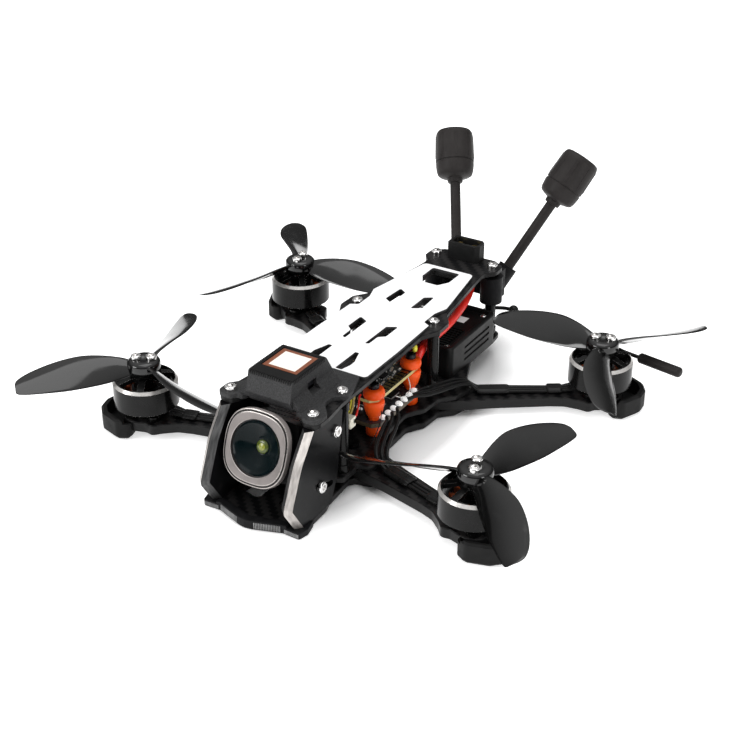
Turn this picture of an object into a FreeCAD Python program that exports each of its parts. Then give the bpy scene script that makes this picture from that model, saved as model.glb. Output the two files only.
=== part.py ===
"""Freestyle quadcopter drone: carbon frame, tilting camera, electronics stack and four motors.

Frame of the part: millimetres, +Z up, nose towards -Y, the drone's own left side towards +X.
The origin is midway between the four motor axes, level with the underside of the floor plate.
"""
import FreeCAD, Part
import math
import os

os.makedirs("parts", exist_ok=True)
doc = FreeCAD.newDocument("quadcopter")
V = FreeCAD.Vector
X_AXIS = V(1, 0, 0)
Y_AXIS = V(0, 1, 0)
Z_AXIS = V(0, 0, 1)

# ---------------------------------------------------------------- driving dimensions

SIZES = (
    ("motor_x", 66.8, "motor axis from the centre plane"),
    ("motor_y", 50.2, "motor axis ahead of or behind the origin"),
    ("lower_thick", 2.5, "floor plate"),
    ("arm_thick", 4.0, "arms, clamped on the floor plate"),
    ("main_thick", 2.0, "main plate, on the arms"),
    ("standoff_long", 27.0, "pillars between main plate and roof"),
    ("roof_thick", 2.0, "roof plate"),
    ("grip_thick", 1.0, "grip sheet on the roof"),
    ("edge_break", 0.3, "chamfer on the cut edges of the plates"),
    ("arm_root_half", 7.0, "half-width of an arm at the body"),
    ("arm_tip_half", 4.8, "half-width of an arm at the motor seat"),
    ("seat_radius", 8.6, "motor seat at the end of an arm"),
    ("guard_wall", 2.1, "wall of the soft cup round the seat"),
    ("guard_high", 8.2, "height of the cup"),
    ("bell_radius", 11.8, "motor bell"),
    ("bell_low", 11.2, "lower rim of the bell"),
    ("bell_high", 21.1, "upper rim of the bell"),
    ("shaft_radius", 1.5, "motor shaft"),
    ("hub_low", 23.0, "underside of the propeller hub"),
    ("hub_high", 28.5, "top of the propeller hub"),
    ("hub_radius", 6.0, "propeller hub"),
    ("prop_radius", 45.7, "propeller tip circle"),
    ("board_pitch", 25.5, "bolt spacing of both boards"),
    ("stack_y", -10.0, "centre of the boards"),
    ("speed_board_z", 13.0, "underside of the lower board"),
    ("flight_board_z", 22.5, "underside of the upper board"),
    ("speed_board_thick", 1.6, "lower board"),
    ("flight_board_thick", 1.2, "upper board"),
    ("cheek_inner", 14.3, "inner face of a camera cheek"),
    ("cheek_thick", 4.2, "camera cheek"),
    ("camera_y", -75.5, "centre of the camera bezel"),
    ("camera_z", 26.4, "centre of the camera bezel"),
    ("camera_tilt", 20.0, "degrees that the camera looks up at rest"),
    ("bezel_radius", 13.0, "camera bezel"),
    ("glass_radius", 9.0, "camera front glass"),
    ("vtx_high", 12.5, "height of the video transmitter box"),
    ("cap_radius", 7.9, "video antenna cap"),
    ("stem_radius", 2.1, "video antenna stem"),
)

sheet = doc.addObject("Spreadsheet::Sheet", "Sizes")
for row, (alias, value, meaning) in enumerate(SIZES, start=1):
    sheet.set("A%d" % row, alias)
    sheet.set("B%d" % row, str(value))
    sheet.set("C%d" % row, meaning)
    sheet.setAlias("B%d" % row, alias)
doc.recompute()


def size(alias):
    """The number in the sheet's cell of that name."""
    return float(sheet.get(alias))


ARM_Z = "Sizes.lower_thick"
MAIN_Z = "Sizes.lower_thick + Sizes.arm_thick"
DECK_Z = MAIN_Z + " + Sizes.main_thick"
ROOF_Z = DECK_Z + " + Sizes.standoff_long"
ROOF_TOP_Z = ROOF_Z + " + Sizes.roof_thick"

arm_top = size("lower_thick") + size("arm_thick")
deck = arm_top + size("main_thick")
roof = deck + size("standoff_long")
roof_top = roof + size("roof_thick")
half_pitch = size("board_pitch") / 2

MOTORS = {
    "front_left": (1, -1),
    "front_right": (-1, -1),
    "rear_left": (1, 1),
    "rear_right": (-1, 1),
}

parts = []


def keep(item, label):
    """Give a sub-part its name and put it on the list of pieces to write."""
    item.Label = label
    parts.append(item)
    return item


def feature(label, shape):
    """A sub-part whose shape neither a body nor primitives suit."""
    item = doc.addObject("Part::Feature", label)
    item.Shape = shape
    return keep(item, label)


# ---------------------------------------------------------------- outlines and sketches

def mirrored(half):
    """Close a right-hand outline, listed nose to tail, with its left-hand mirror image."""
    left = [(-point[0],) + tuple(point[1:]) for point in reversed(half) if point[0] > 1e-6]
    return list(half) + left


def rounded(points):
    """Edges of a closed outline of (x, y) or (x, y, corner radius) points."""
    spots = [V(p[0], p[1], 0) for p in points]
    radii = [p[2] if len(p) > 2 else 0 for p in points]
    runs = []
    arcs = []
    for i, corner in enumerate(spots):
        before = spots[i - 1] - corner
        after = spots[(i + 1) % len(spots)] - corner
        opening = before.getAngle(after)
        cut = 0 if radii[i] == 0 else radii[i] / math.tan(opening / 2)
        cut = min(cut, 0.45 * before.Length, 0.45 * after.Length)
        before.normalize()
        after.normalize()
        start = corner + before * cut
        end = corner + after * cut
        runs.append((start, end))
        if cut:
            middle = before + after
            middle.normalize()
            reach = cut / math.cos(opening / 2)
            radius = cut * math.tan(opening / 2)
            arcs.append(Part.Arc(start, corner + middle * (reach - radius), end))
    lines = []
    for i, (_, end) in enumerate(runs):
        start = runs[(i + 1) % len(runs)][0]
        if (start - end).Length > 1e-6:
            lines.append(Part.LineSegment(end, start))
    return lines + arcs


def circle(x, y, radius):
    return [Part.Circle(V(x, y, 0), Z_AXIS, radius)]


def origin_plane(body, role):
    return next(item for item in body.Origin.OriginFeatures if item.Role == role)


def sketch_in(body, role, geometry):
    sketch = body.newObject("Sketcher::SketchObject", body.Name + "_sketch")
    sketch.AttachmentSupport = [(origin_plane(body, role), "")]
    sketch.MapMode = "FlatFace"
    for edge in geometry:
        sketch.addGeometry(edge, False)
    return sketch


def padded(label, geometry, length, role="XY_Plane", z=None, midplane=False):
    """A body with one pad; length and z are expressions on the sheet."""
    body = doc.addObject("PartDesign::Body", label)
    sketch = sketch_in(body, role, geometry)
    pad = body.newObject("PartDesign::Pad", label + "_pad")
    pad.Profile = sketch
    pad.setExpression("Length", length)
    pad.Midplane = midplane
    body.Tip = pad
    if z is not None:
        body.setExpression("Placement.Base.z", z)
    doc.recompute()
    return body


def pocketed(body, geometry, depth, reverse):
    """Cut outlines on the body's own XY plane to a depth, and check that something went."""
    before = body.Shape.Volume
    sketch = sketch_in(body, "XY_Plane", geometry)
    pocket = body.newObject("PartDesign::Pocket", body.Name + "_pocket")
    pocket.Profile = sketch
    pocket.Length = depth
    pocket.Reversed = reverse
    body.Tip = pocket
    doc.recompute()
    if not body.Shape.Volume < before - 1e-3:
        raise RuntimeError("pocket cut nothing from " + body.Name)
    return body


def broken_edges(body, wanted, amount):
    """Chamfer the edges of the body's tip that wanted(edge) picks."""
    base = body.Tip
    names = ["Edge%d" % (i + 1) for i, edge in enumerate(base.Shape.Edges) if wanted(edge)]
    chamfer = body.newObject("PartDesign::Chamfer", body.Name + "_chamfer")
    chamfer.Base = (base, names)
    chamfer.setExpression("Size", amount)
    body.Tip = chamfer
    doc.recompute()
    return body


def is_flat_run(edge):
    """True for an outline edge that lies level, circles left out."""
    box = edge.BoundBox
    is_circle = edge.isClosed()
    return box.ZLength < 1e-6 and not is_circle


def turned(label, profile, place=None):
    """A body revolved about its own Z axis from (radius, height) points."""
    body = doc.addObject("PartDesign::Body", label)
    sketch = sketch_in(body, "XZ_Plane", rounded(profile))
    spin = body.newObject("PartDesign::Revolution", label + "_turn")
    spin.Profile = sketch
    spin.ReferenceAxis = (sketch, ["V_Axis"])
    spin.Angle = 360
    body.Tip = spin
    if place is not None:
        body.Placement = place
    doc.recompute()
    return body


# ---------------------------------------------------------------- plain solids and groups

def box_between(low, high):
    low = V(*low)
    high = V(*high)
    span = high - low
    return Part.makeBox(span.x, span.y, span.z, low)


def chamfered_box(low, high, amount):
    solid = box_between(low, high)
    return solid.makeChamfer(amount, solid.Edges)


def rod(start, end, radius):
    start = V(*start)
    run = V(*end) - start
    return Part.makeCylinder(radius, run.Length, start, run)


def prism(points, height, z):
    """Straight block on a polygon of (x, y) points."""
    wire = Part.makePolygon([V(x, y, z) for x, y in points] + [V(points[0][0], points[0][1], z)])
    return Part.Face(wire).extrude(V(0, 0, height))


def cap_screw(x, y, z, head_radius, head_high, shank_radius, shank_long):
    """Button-head screw with a hexagon socket, its head resting on height z."""
    head = Part.makeCylinder(head_radius, head_high, V(x, y, z))
    head = head.makeFillet(0.45 * head_high, [head.Edges[0]])
    socket_radius = 0.5 * head_radius
    corners = [math.radians(60 * k) for k in range(6)]
    hexagon = [(x + socket_radius * math.cos(a), y + socket_radius * math.sin(a)) for a in corners]
    head = head.cut(prism(hexagon, head_high, z + 0.4 * head_high))
    return head.fuse(Part.makeCylinder(shank_radius, shank_long, V(x, y, z - shank_long)))


def group(label, solids):
    return feature(label, Part.makeCompound(solids))


def rounded_route(points):
    """Path of straight runs joined by tangent arcs, and the radii of those arcs."""
    spots = [V(*p) for p in points]
    pieces = []
    radii = []
    last = spots[0]
    for i in range(1, len(spots) - 1):
        before = spots[i - 1] - spots[i]
        after = spots[i + 1] - spots[i]
        turn = math.pi - before.getAngle(after)
        shorter = min(before.Length, after.Length)
        cut = 0.45 * shorter
        radius = cut / math.tan(turn / 2)
        before.normalize()
        after.normalize()
        start = spots[i] + before * cut
        end = spots[i] + after * cut
        middle = before + after
        middle.normalize()
        reach = math.hypot(radius, cut)
        pieces.append(Part.LineSegment(last, start).toShape())
        pieces.append(Part.Arc(start, spots[i] + middle * (reach - radius), end).toShape())
        radii.append(radius)
        last = end
    pieces.append(Part.LineSegment(last, spots[-1]).toShape())
    return Part.Wire(pieces), radii


def tube(points, radius):
    """A wire or cable along a route; its volume has to match its section times its length."""
    path, radii = rounded_route(points)
    direction = V(*points[1]) - V(*points[0])
    section = Part.Wire(Part.makeCircle(radius, V(*points[0]), direction))
    solid = path.makePipeShell([section], True, True)
    expected = math.pi * radius ** 2 * path.Length
    if abs(solid.Volume / expected - 1) > 0.02:
        raise RuntimeError("tube volume is off")
    print("route of %.1f mm, smallest bend radius %.1f mm" % (path.Length, min(radii, default=0)))
    return solid


# ---------------------------------------------------------------- plates

BODY_SIDE = [                       # edge of both clamp plates along the middle of the body
    (16.1, -45.1, 2), (17.8, -42.9, 2), (23.5, -42.0, 2), (25.2, -33.0, 2.5), (21.6, -28.5, 3),
    (16.3, -21.5, 4), (15.8, -5.0, 4), (19.8, 1.5, 3), (20.4, 10.5, 3), (25.0, 15.5, 2.5),
    (27.0, 23.5, 2.5), (21.5, 31.0, 3),
]
FRAME_SCREW_SPOTS = [(10.5, -33.6), (20.5, -36.6), (10.0, 13.3), (20.0, 19.9)]
STANDOFF_SPOTS = [(16.1, 13.2), (12.35, 66.6)]
FRONT_SCREW_SPOTS = [(16.2, -66.0), (16.0, -48.5)]
FRAME_SCREW_RADIUS = 1.5
ROOF_SCREW_RADIUS = 1.25
BOLT_RADIUS = 1.0
FIT = 0.05


def both_sides(spots):
    return [(side * x, y) for x, y in spots for side in (1, -1)]


def holes(spots, radius):
    return [edge for x, y in spots for edge in circle(x, y, radius)]


STACK_SPOTS = [(sx * half_pitch, size("stack_y") + sy * half_pitch) for sx in (1, -1) for sy in (1, -1)]
FRAME_SCREWS = both_sides(FRAME_SCREW_SPOTS)

# floor plate: V nose inside the bumper, straight flanks under the camera cheeks
lower_half = [(0, -80.3, 2), (10.8, -77.2, 2), (16.8, -76.7, 0.5), (16.9, -71.0), (18.6, -70.8, 0.5),
              (18.1, -61.9, 2), (17.0, -58.5, 2)]
lower_outline = rounded(mirrored(lower_half + BODY_SIDE + [(14.5, 43.5, 4), (0, 43.5)]))
lower_slots = []
for side in (1, -1):
    lower_slots += rounded([(side * 4, -70, 1.5), (side * 12, -68, 1.5), (side * 11, -58, 1.5),
                            (side * 4, -56, 1.5)])
lower_plate = padded("lower_plate", lower_outline + lower_slots + holes(FRAME_SCREWS, FRAME_SCREW_RADIUS
                     + FIT), "Sizes.lower_thick")
broken_edges(lower_plate, is_flat_run, "Sizes.edge_break")
pocketed(lower_plate, holes(FRAME_SCREWS, 2.8), 1.2, True)
keep(lower_plate, "lower_plate")

# main plate: same middle, its tail carries the video transmitter and the rear pillars
main_half = [(0, -62.0), (13.9, -62.0, 2), (13.9, -55.6, 1), (19.2, -52.5, 2), (19.2, -45.0, 2)]
main_tail = [(16.4, 44.0, 4), (16.4, 62.0, 3), (15.6, 70.0, 3), (0, 70.0)]
cable_slot = rounded([(-6, 26, 2), (6, 26, 2), (6, 34, 2), (-6, 34, 2)])
main_holes = (holes(FRAME_SCREWS, FRAME_SCREW_RADIUS + FIT) + holes(STACK_SPOTS, BOLT_RADIUS + FIT)
              + holes(both_sides(STANDOFF_SPOTS), ROOF_SCREW_RADIUS + FIT)
              + holes(both_sides([FRONT_SCREW_SPOTS[1]]), ROOF_SCREW_RADIUS + FIT) + cable_slot)
main_outline = rounded(mirrored(main_half + BODY_SIDE[1:] + main_tail))
main_plate = padded("main_plate", main_outline + main_holes, "Sizes.main_thick", z=MAIN_Z)
broken_edges(main_plate, is_flat_run, "Sizes.edge_break")
keep(main_plate, "main_plate")

# roof plate: ears round the screws, slots on each side, open under the battery connector
roof_half = [(0, -62.5), (11.2, -62.5, 1), (12.6, -66.5, 1), (14.0, -69.0, 1.5), (19.6, -69.0, 2.5),
             (19.6, -62.0, 3), (18.4, -52.0, 8), (18.2, -35.0), (17.8, -14.0), (17.4, 2.0, 4),
             (20.8, 8.8, 3), (20.6, 16.5, 3), (17.0, 21.5, 4), (12.9, 53.0, 6), (12.4, 59.0, 4),
             (15.8, 63.5, 3), (15.8, 69.0, 3), (11.0, 72.2, 2), (0, 72.2)]
ROOF_SLOTS = [
    [(4.0, 17.0, 0.6), (7.8, 19.3, 0.6), (7.2, 29.5, 0.6), (4.0, 27.3, 0.6)],
    [(4.1, -15.0, 0.4), (5.5, -14.2, 0.4), (5.6, -8.6, 0.5), (7.9, -6.6, 0.6), (7.9, 2.0, 0.6),
     (4.1, -0.2, 0.6)],
    [(4.7, -22.0, 0.5), (6.2, -21.9, 0.5), (8.2, -28.2, 0.8), (8.2, -31.0, 0.6), (7.2, -35.0, 0.4),
     (4.7, -35.0, 0.4)],
]
tail_window = [(3.2, 39.0, 1), (5.8, 43.5, 1), (5.8, 52.0, 1)]
lead_window = [(-6.4, 66.8, 1), (6.4, 66.8, 1), (6.4, 70.4, 1), (-6.4, 70.4, 1)]


def roof_openings(grow=0.0):
    """The slots of the roof; grow widens them a little for the sheet on top."""
    edges = rounded(mirrored([(x + grow, y, r) for x, y, r in tail_window]))
    for slot in ROOF_SLOTS:
        for side in (1, -1):
            edges += rounded([(side * x, y, r) for x, y, r in slot])
    return edges


roof_screw_spots = both_sides(FRONT_SCREW_SPOTS + STANDOFF_SPOTS)
roof_plate = padded("top_plate", rounded(mirrored(roof_half)) + roof_openings() + rounded(lead_window)
                    + holes(roof_screw_spots, ROOF_SCREW_RADIUS + FIT), "Sizes.roof_thick", z=ROOF_Z)
broken_edges(roof_plate, is_flat_run, "Sizes.edge_break")
keep(roof_plate, "top_plate")

# grip sheet: about a millimetre inside the roof plate, notched round the middle screws
pad_half = [(0, -35.6), (17.2, -35.6, 1.5), (17.2, -14.0), (16.6, 8.6, 0.6), (13.8, 10.0, 1.2),
            (13.8, 17.8, 1.2), (15.6, 23.7, 2), (10.6, 54.0, 2), (0, 54.0)]
battery_pad = padded("battery_pad", rounded(mirrored(pad_half)) + roof_openings(), "Sizes.grip_thick",
                     z=ROOF_TOP_Z)
keep(battery_pad, "battery_pad")

# ---------------------------------------------------------------- arms and their guards

ROOT_SPOTS = {-1: (22.3, -37.0), 1: (23.6, 21.8)}      # where an arm's centre line leaves the body


def arm_frame(sx, sy):
    """Motor axis, outward direction and sideways direction of one arm."""
    motor = V(sx * size("motor_x"), sy * size("motor_y"), 0)
    root = V(sx * ROOT_SPOTS[sy][0], ROOT_SPOTS[sy][1], 0)
    out = motor - root
    reach = out.Length
    out.normalize()
    return motor, root, out, V(-out.y, out.x, 0), reach


def on_arm(frame, along, across):
    """Point measured from the motor axis: along is outward, across is to the arm's left."""
    motor, _, out, side, _ = frame
    spot = motor + out * along + side * across
    return spot.x, spot.y


def arm_outline(frame):
    """Tapered beam into a motor seat with a lobe on each side."""
    reach = frame[4]
    root = size("arm_root_half")
    tip = size("arm_tip_half")
    seat = size("seat_radius")
    one_side = [
        (-reach - 19.0, 0.72 * root, 2), (-reach - 4.0, root, 6), (-reach + 10.0, tip + 0.9, 20),
        (-19.0, tip, 12), (-13.5, tip + 0.3, 5), (-8.6, seat - 1.3, 3.0), (-5.2, seat + 0.9, 2.0),
        (-2.4, seat - 0.5, 2.5), (3.4, seat - 0.4, 4), (seat - 0.4, 5.2, 4),
    ]
    far_side = [(along, -across, radius) for along, across, radius in reversed(one_side)]
    return [on_arm(frame, along, across) + (radius,) for along, across, radius in one_side + far_side]


SEAT_SCREWS = 6.0                  # motor mounting screws on a 12 mm circle
for place, (sx, sy) in MOTORS.items():
    frame = arm_frame(sx, sy)
    seat_spots = [on_arm(frame, SEAT_SCREWS * math.cos(a), SEAT_SCREWS * math.sin(a))
                  for a in (math.radians(45 + 90 * k) for k in range(4))]
    clamp_spots = [spot for spot in FRAME_SCREWS if spot[0] * sx > 0 and (spot[1] + 10) * sy > 0]
    arm_holes = (holes(seat_spots, 1.05) + holes([on_arm(frame, 0, 0)], 2.5)
                 + holes(clamp_spots, FRAME_SCREW_RADIUS + FIT))
    arm = padded("arm_" + place, rounded(arm_outline(frame)) + arm_holes, "Sizes.arm_thick", z=ARM_Z)
    broken_edges(arm, is_flat_run, "Sizes.edge_break")
    keep(arm, "arm_" + place)


GUARD_CORNERS = ((2.6, 10.6), (7.6, 11.7), (14.6, 7.2), (17.2, 2.6))    # along and across the arm


def guard_profile(frame, inset):
    """Faceted outline round the outer half of a seat, drawn in by an inset."""
    shrink = 1 - inset / GUARD_CORNERS[-1][0]
    corners = [(max(along * shrink, GUARD_CORNERS[0][0]), across * shrink)
               for along, across in GUARD_CORNERS]
    corners = [(along, -across) for along, across in corners] + corners[::-1]
    return [on_arm(frame, along, across) + (2.5,) for along, across in corners]


def flat_face(points):
    return Part.Face(Part.Wire(Part.__sortEdges__([edge.toShape() for edge in rounded(points)])))


def guard_shape(frame):
    """Soft cup: chamfered outside, a floor below the seat and a wall round its outer half."""
    outer = flat_face(guard_profile(frame, 0))
    cup = outer.extrude(V(0, 0, size("guard_high")))
    low_edges = [edge for edge in cup.Edges if edge.BoundBox.ZMax < 1e-6]
    cup = cup.makeChamfer(1.3, low_edges)
    top_edges = [edge for edge in cup.Edges if edge.BoundBox.ZMin > size("guard_high") - 1e-6]
    cup = cup.makeChamfer(0.7, top_edges)
    inner = flat_face(guard_profile(frame, size("guard_wall")))
    cup = cup.cut(inner.extrude(V(0, 0, 20)).translate(V(0, 0, size("lower_thick"))))
    motor = frame[0]
    cup = cup.cut(Part.makeCylinder(size("bell_radius") + 0.6, 20, motor + V(0, 0, arm_top)))
    seat = flat_face(arm_outline(frame)).extrude(V(0, 0, 20)).translate(V(0, 0, size("lower_thick")))
    return cup.cut(seat)


for place, (sx, sy) in MOTORS.items():
    feature("arm_guard_" + place, guard_shape(arm_frame(sx, sy)))

# ---------------------------------------------------------------- motors and propellers

bell_r = size("bell_radius")
shaft_r = size("shaft_radius")
bearing_r = 2.7
base_tube_r = 3.4
BEARING_LONG = 2.4
BEARING_LOWS = (8.0, 14.8)
stator_r = 9.6


def base_shape(frame):
    """Fixed base: four feet on the arm, a flange and the tube that holds the bearings."""
    motor = frame[0]
    tube_part = Part.makeCylinder(base_tube_r, 11.0, V(0, 0, arm_top))
    flange = Part.makeCylinder(5.6, 1.6, V(0, 0, arm_top))
    solid = tube_part.fuse(flange)
    for k in range(4):
        foot = box_between((0, -2.1, arm_top), (SEAT_SCREWS, 2.1, arm_top + 1.6))
        pad_end = Part.makeCylinder(2.5, 1.6, V(SEAT_SCREWS, 0, arm_top))
        foot = foot.fuse(pad_end)
        foot.rotate(V(), Z_AXIS, 45 + 90 * k)
        solid = solid.fuse(foot)
    solid = solid.cut(Part.makeCylinder(bearing_r, 20, V(0, 0, arm_top)))
    angle = math.degrees(math.atan2(frame[2].y, frame[2].x))
    solid = solid.removeSplitter()
    solid.rotate(V(), Z_AXIS, angle)
    solid.translate(motor)
    return solid


def stator_shape(motor):
    """Ring with nine wound teeth round the base tube."""
    low, high = 11.4, 17.4
    core = Part.makeCylinder(5.2, high - low, V(0, 0, low))
    core = core.cut(Part.makeCylinder(base_tube_r + FIT, high - low, V(0, 0, low)))
    for k in range(9):
        tooth = box_between((4.8, -1.5, low + 0.5), (stator_r - 0.8, 1.5, high - 0.5))
        shoe = box_between((stator_r - 1.2, -2.6, low), (stator_r - 0.3, 2.6, high))
        winding = tooth.fuse(shoe)
        winding.rotate(V(), Z_AXIS, 40 * k)
        core = core.fuse(winding)
    core.translate(motor)
    return core.removeSplitter()


def bearing_shapes(motor):
    rings = []
    for low in BEARING_LOWS:
        ring = Part.makeCylinder(bearing_r, BEARING_LONG, motor + V(0, 0, low))
        rings.append(ring.cut(Part.makeCylinder(shaft_r + FIT, BEARING_LONG, motor + V(0, 0, low))))
    return rings


SPOKES = 6
low_rim = size("bell_low")
top_rim = size("bell_high")
hub_seat = size("hub_low")


def bell_body(label, motor, turn):
    """Bell with a conical spoked top; the shaft runs down through the bearings."""
    wall = 1.1
    profile = [
        (0, 7.6), (shaft_r, 7.6), (shaft_r, 17.9), (4.3, 17.9), (4.3, 21.0), (bell_r - wall, 18.9),
        (bell_r - wall, low_rim), (bell_r, low_rim), (bell_r, top_rim - 1.4),
        (bell_r - 0.9, top_rim - 0.4), (4.4, hub_seat - 0.6), (4.0, hub_seat), (0, hub_seat),
    ]
    place = FreeCAD.Placement(motor, FreeCAD.Rotation(Z_AXIS, turn))
    body = turned(label, profile, place)
    windows = []
    for k in range(SPOKES):
        inner, outer = 5.0, bell_r - wall - 0.3
        half = math.pi / SPOKES
        centre = 2 * half * k
        spread_in = half - 1.3 / inner
        spread_out = half - 1.25 / outer
        corners = [(inner, -spread_in), (outer, -spread_out), (outer + 0.55, 0), (outer, spread_out),
                   (inner, spread_in)]
        windows += rounded([(r * math.cos(centre + a), r * math.sin(centre + a), 0.3)
                            for r, a in corners])
    return pocketed(body, windows, 30.0, True)


# (radius, chord, pitch in degrees, sideways offset, height of the mid-chord) at stations of a blade
BLADE_STATIONS = [
    (4.6, 6.4, 34, 0.0, 25.8), (8.0, 8.4, 40, 0.3, 25.8), (14.0, 11.2, 38, 1.0, 25.7),
    (21.0, 13.2, 33, 1.7, 25.5), (28.0, 13.4, 29, 1.6, 25.1), (35.0, 12.0, 25, 1.2, 24.6),
    (41.0, 9.6, 22, 0.4, 24.1), (44.5, 6.8, 21, -0.5, 23.8), (45.6, 4.0, 21, -1.1, 23.7),
]


SECTION_POINTS = 10


def blade_section(radius, chord, pitch, offset, height):
    """Thin closed section across a blade that lies along +X and leads towards +Y."""
    thick = 2.0 - 1.1 * radius / size("prop_radius")
    tilt = math.radians(pitch)
    points = []
    for k in range(SECTION_POINTS):
        angle = 2 * math.pi * k / SECTION_POINTS
        along = chord / 2 * math.cos(angle)
        up = thick / 2 * math.sin(angle)
        points.append(V(radius, offset + along * math.cos(tilt) - up * math.sin(tilt),
                        height + along * math.sin(tilt) + up * math.cos(tilt)))
    curve = Part.BSplineCurve()
    curve.interpolate(points, PeriodicFlag=True)
    return Part.Wire(curve.toShape())


def plain_propeller():
    """Anticlockwise three-blade propeller at the origin with its first blade along +X."""
    blade = Part.makeLoft([blade_section(*station) for station in BLADE_STATIONS], True, False)
    hub = Part.makeCylinder(size("hub_radius"), size("hub_high") - hub_seat, V(0, 0, hub_seat))
    blades = []
    for k in range(3):
        copy = blade.copy()
        copy.rotate(V(), Z_AXIS, 120 * k)
        blades.append(copy)
    return hub.multiFuse(blades)


PLAIN_PROPELLER = plain_propeller()


def propeller_shape(motor, turn, clockwise, screw_spots):
    """The plain propeller turned into place, mirrored where the motor runs clockwise."""
    solid = PLAIN_PROPELLER.mirror(V(), Y_AXIS) if clockwise else PLAIN_PROPELLER.copy()
    solid.rotate(V(), Z_AXIS, turn)
    for x, y in screw_spots:
        solid = solid.cut(Part.makeCylinder(1.05, 12, V(x, y, hub_seat - 1)))
    solid.translate(motor)
    return solid


# (blade angle, clockwise seen from above, direction of the screw pair), angles in degrees from +X
ROTORS = {
    "front_left": (73.3, False, 108.8),
    "front_right": (107.1, True, 29.3),
    "rear_left": (55.0, True, 19.7),
    "rear_right": (5.2, False, 99.4),
}
PROP_SCREW_HALF = 2.8
bases = []
stators = []
bearings = []
for place, (sx, sy) in MOTORS.items():
    frame = arm_frame(sx, sy)
    motor = frame[0]
    blade_angle, clockwise, screw_angle = ROTORS[place]
    bases.append(base_shape(frame))
    stators.append(stator_shape(motor))
    bearings += bearing_shapes(motor)
    aim = math.radians(screw_angle)
    spots = [(side * PROP_SCREW_HALF * math.cos(aim), side * PROP_SCREW_HALF * math.sin(aim))
             for side in (1, -1)]
    keep(bell_body("motor_bell_" + place, motor, screw_angle), "motor_bell_" + place)
    feature("propeller_" + place, propeller_shape(motor, blade_angle, clockwise, spots))
    group("prop_screws_" + place,
          [cap_screw(motor.x + x, motor.y + y, size("hub_high"), 1.9, 1.5, 1.0,
                     size("hub_high") - hub_seat) for x, y in spots])
group("motor_bases", bases)
group("stators", stators)
group("motor_bearings", bearings)

# ---------------------------------------------------------------- camera end

cheek_in = size("cheek_inner")
cheek_out = cheek_in + size("cheek_thick")
PIVOT = (-56.7, 29.2)               # (y, z) of the upper camera screw, which the camera tilts on
LOCK = (-65.9, 12.6)                # (y, z) of the lower camera screw, which slides in a slot
TILT_DOWN = 20.0
TILT_UP = 5.0
CAMERA_SCREW_R = 1.0
PIVOT_BOSS_R = 2.8
LOCK_BOSS_R = 1.75                  # small, to pass over the main plate when the camera is level
SCREW_TIP_X = 11.5                  # how far in the camera screws reach


def tilted(y, z, angle):
    """(y, z) turned nose-up about the pivot by an angle in degrees."""
    turn = math.radians(angle)
    dy, dz = y - PIVOT[0], z - PIVOT[1]
    return (PIVOT[0] + dy * math.cos(turn) + dz * math.sin(turn),
            PIVOT[1] - dy * math.sin(turn) + dz * math.cos(turn))


def slot_outline():
    """Slot round the pivot for the lower screw; sketch axes are y and z."""
    grow = CAMERA_SCREW_R + 0.1
    spots = [tilted(LOCK[0], LOCK[1], a) for a in (-TILT_DOWN - 0.5, -TILT_DOWN / 2, TILT_UP + 0.5)]
    radius = math.hypot(LOCK[0] - PIVOT[0], LOCK[1] - PIVOT[1])

    def offset(spot, amount):
        ratio = (radius + amount) / radius
        return V(PIVOT[0] + (spot[0] - PIVOT[0]) * ratio, PIVOT[1] + (spot[1] - PIVOT[1]) * ratio, 0)

    outer = [offset(spot, grow) for spot in spots]
    inner = [offset(spot, -grow) for spot in spots]
    ends = []
    for k, way in ((0, -1), (2, 1)):
        middle = offset(spots[k], 0)
        along = (outer[k] - middle).cross(Z_AXIS)
        along.normalize()
        if (along.dot(middle - offset(spots[1], 0))) < 0:
            along = along * -1
        ends.append(middle + along * grow)
    return [Part.Arc(outer[0], outer[1], outer[2]), Part.Arc(inner[0], inner[1], inner[2]),
            Part.Arc(outer[0], ends[0], inner[0]), Part.Arc(outer[2], ends[1], inner[2])]


CHEEK_SIDE = [
    (-71.6, 35.5), (-78.3, 26.5, 18), (-84.7, 11.8, 3), (-78.6, 2.5), (-59.5, 2.5, 2),
    (-55.5, 12.0, 8), (-53.5, 24.0, 8), (-52.0, 35.5, 1),
]
DRILL_LOW = 27.0                    # bottom of the hole for the front roof screw


def drilled_from_above(body, side):
    """Blind hole in the top of a cheek for the front roof screw."""
    screw_x, screw_y = FRONT_SCREW_SPOTS[0]
    before = body.Shape.Volume
    start = cheek_in if side > 0 else -cheek_out
    drill = sketch_in(body, "XY_Plane", circle(side * screw_x - start, screw_y,
                                               ROOF_SCREW_RADIUS + FIT))
    drill.AttachmentOffset = FreeCAD.Placement(V(0, 0, DRILL_LOW), FreeCAD.Rotation())
    pocket = body.newObject("PartDesign::Pocket", body.Name + "_drill")
    pocket.Profile = drill
    pocket.Length = roof - DRILL_LOW
    pocket.Reversed = True
    body.Tip = pocket
    doc.recompute()
    if not body.Shape.Volume < before - 1e-3:
        raise RuntimeError("the cheek was not drilled")
    return body


def cheek_body(label, side):
    geometry = rounded(CHEEK_SIDE) + circle(PIVOT[0], PIVOT[1], CAMERA_SCREW_R + FIT) + slot_outline()
    body = padded(label, geometry, "Sizes.cheek_thick", role="YZ_Plane")
    start = cheek_in if side > 0 else -cheek_out
    body.Placement = FreeCAD.Placement(V(start, 0, 0), FreeCAD.Rotation())

    def front_edge(edge):
        box = edge.BoundBox
        is_front = box.YMin < -72.0 and box.ZLength > 3.0
        return is_front and box.XLength < 1e-6

    broken_edges(body, front_edge, "0.48 * Sizes.cheek_thick")
    return keep(drilled_from_above(body, side), label)


for side, word in ((1, "left"), (-1, "right")):
    cheek_body("camera_cheek_" + word, side)

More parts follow.
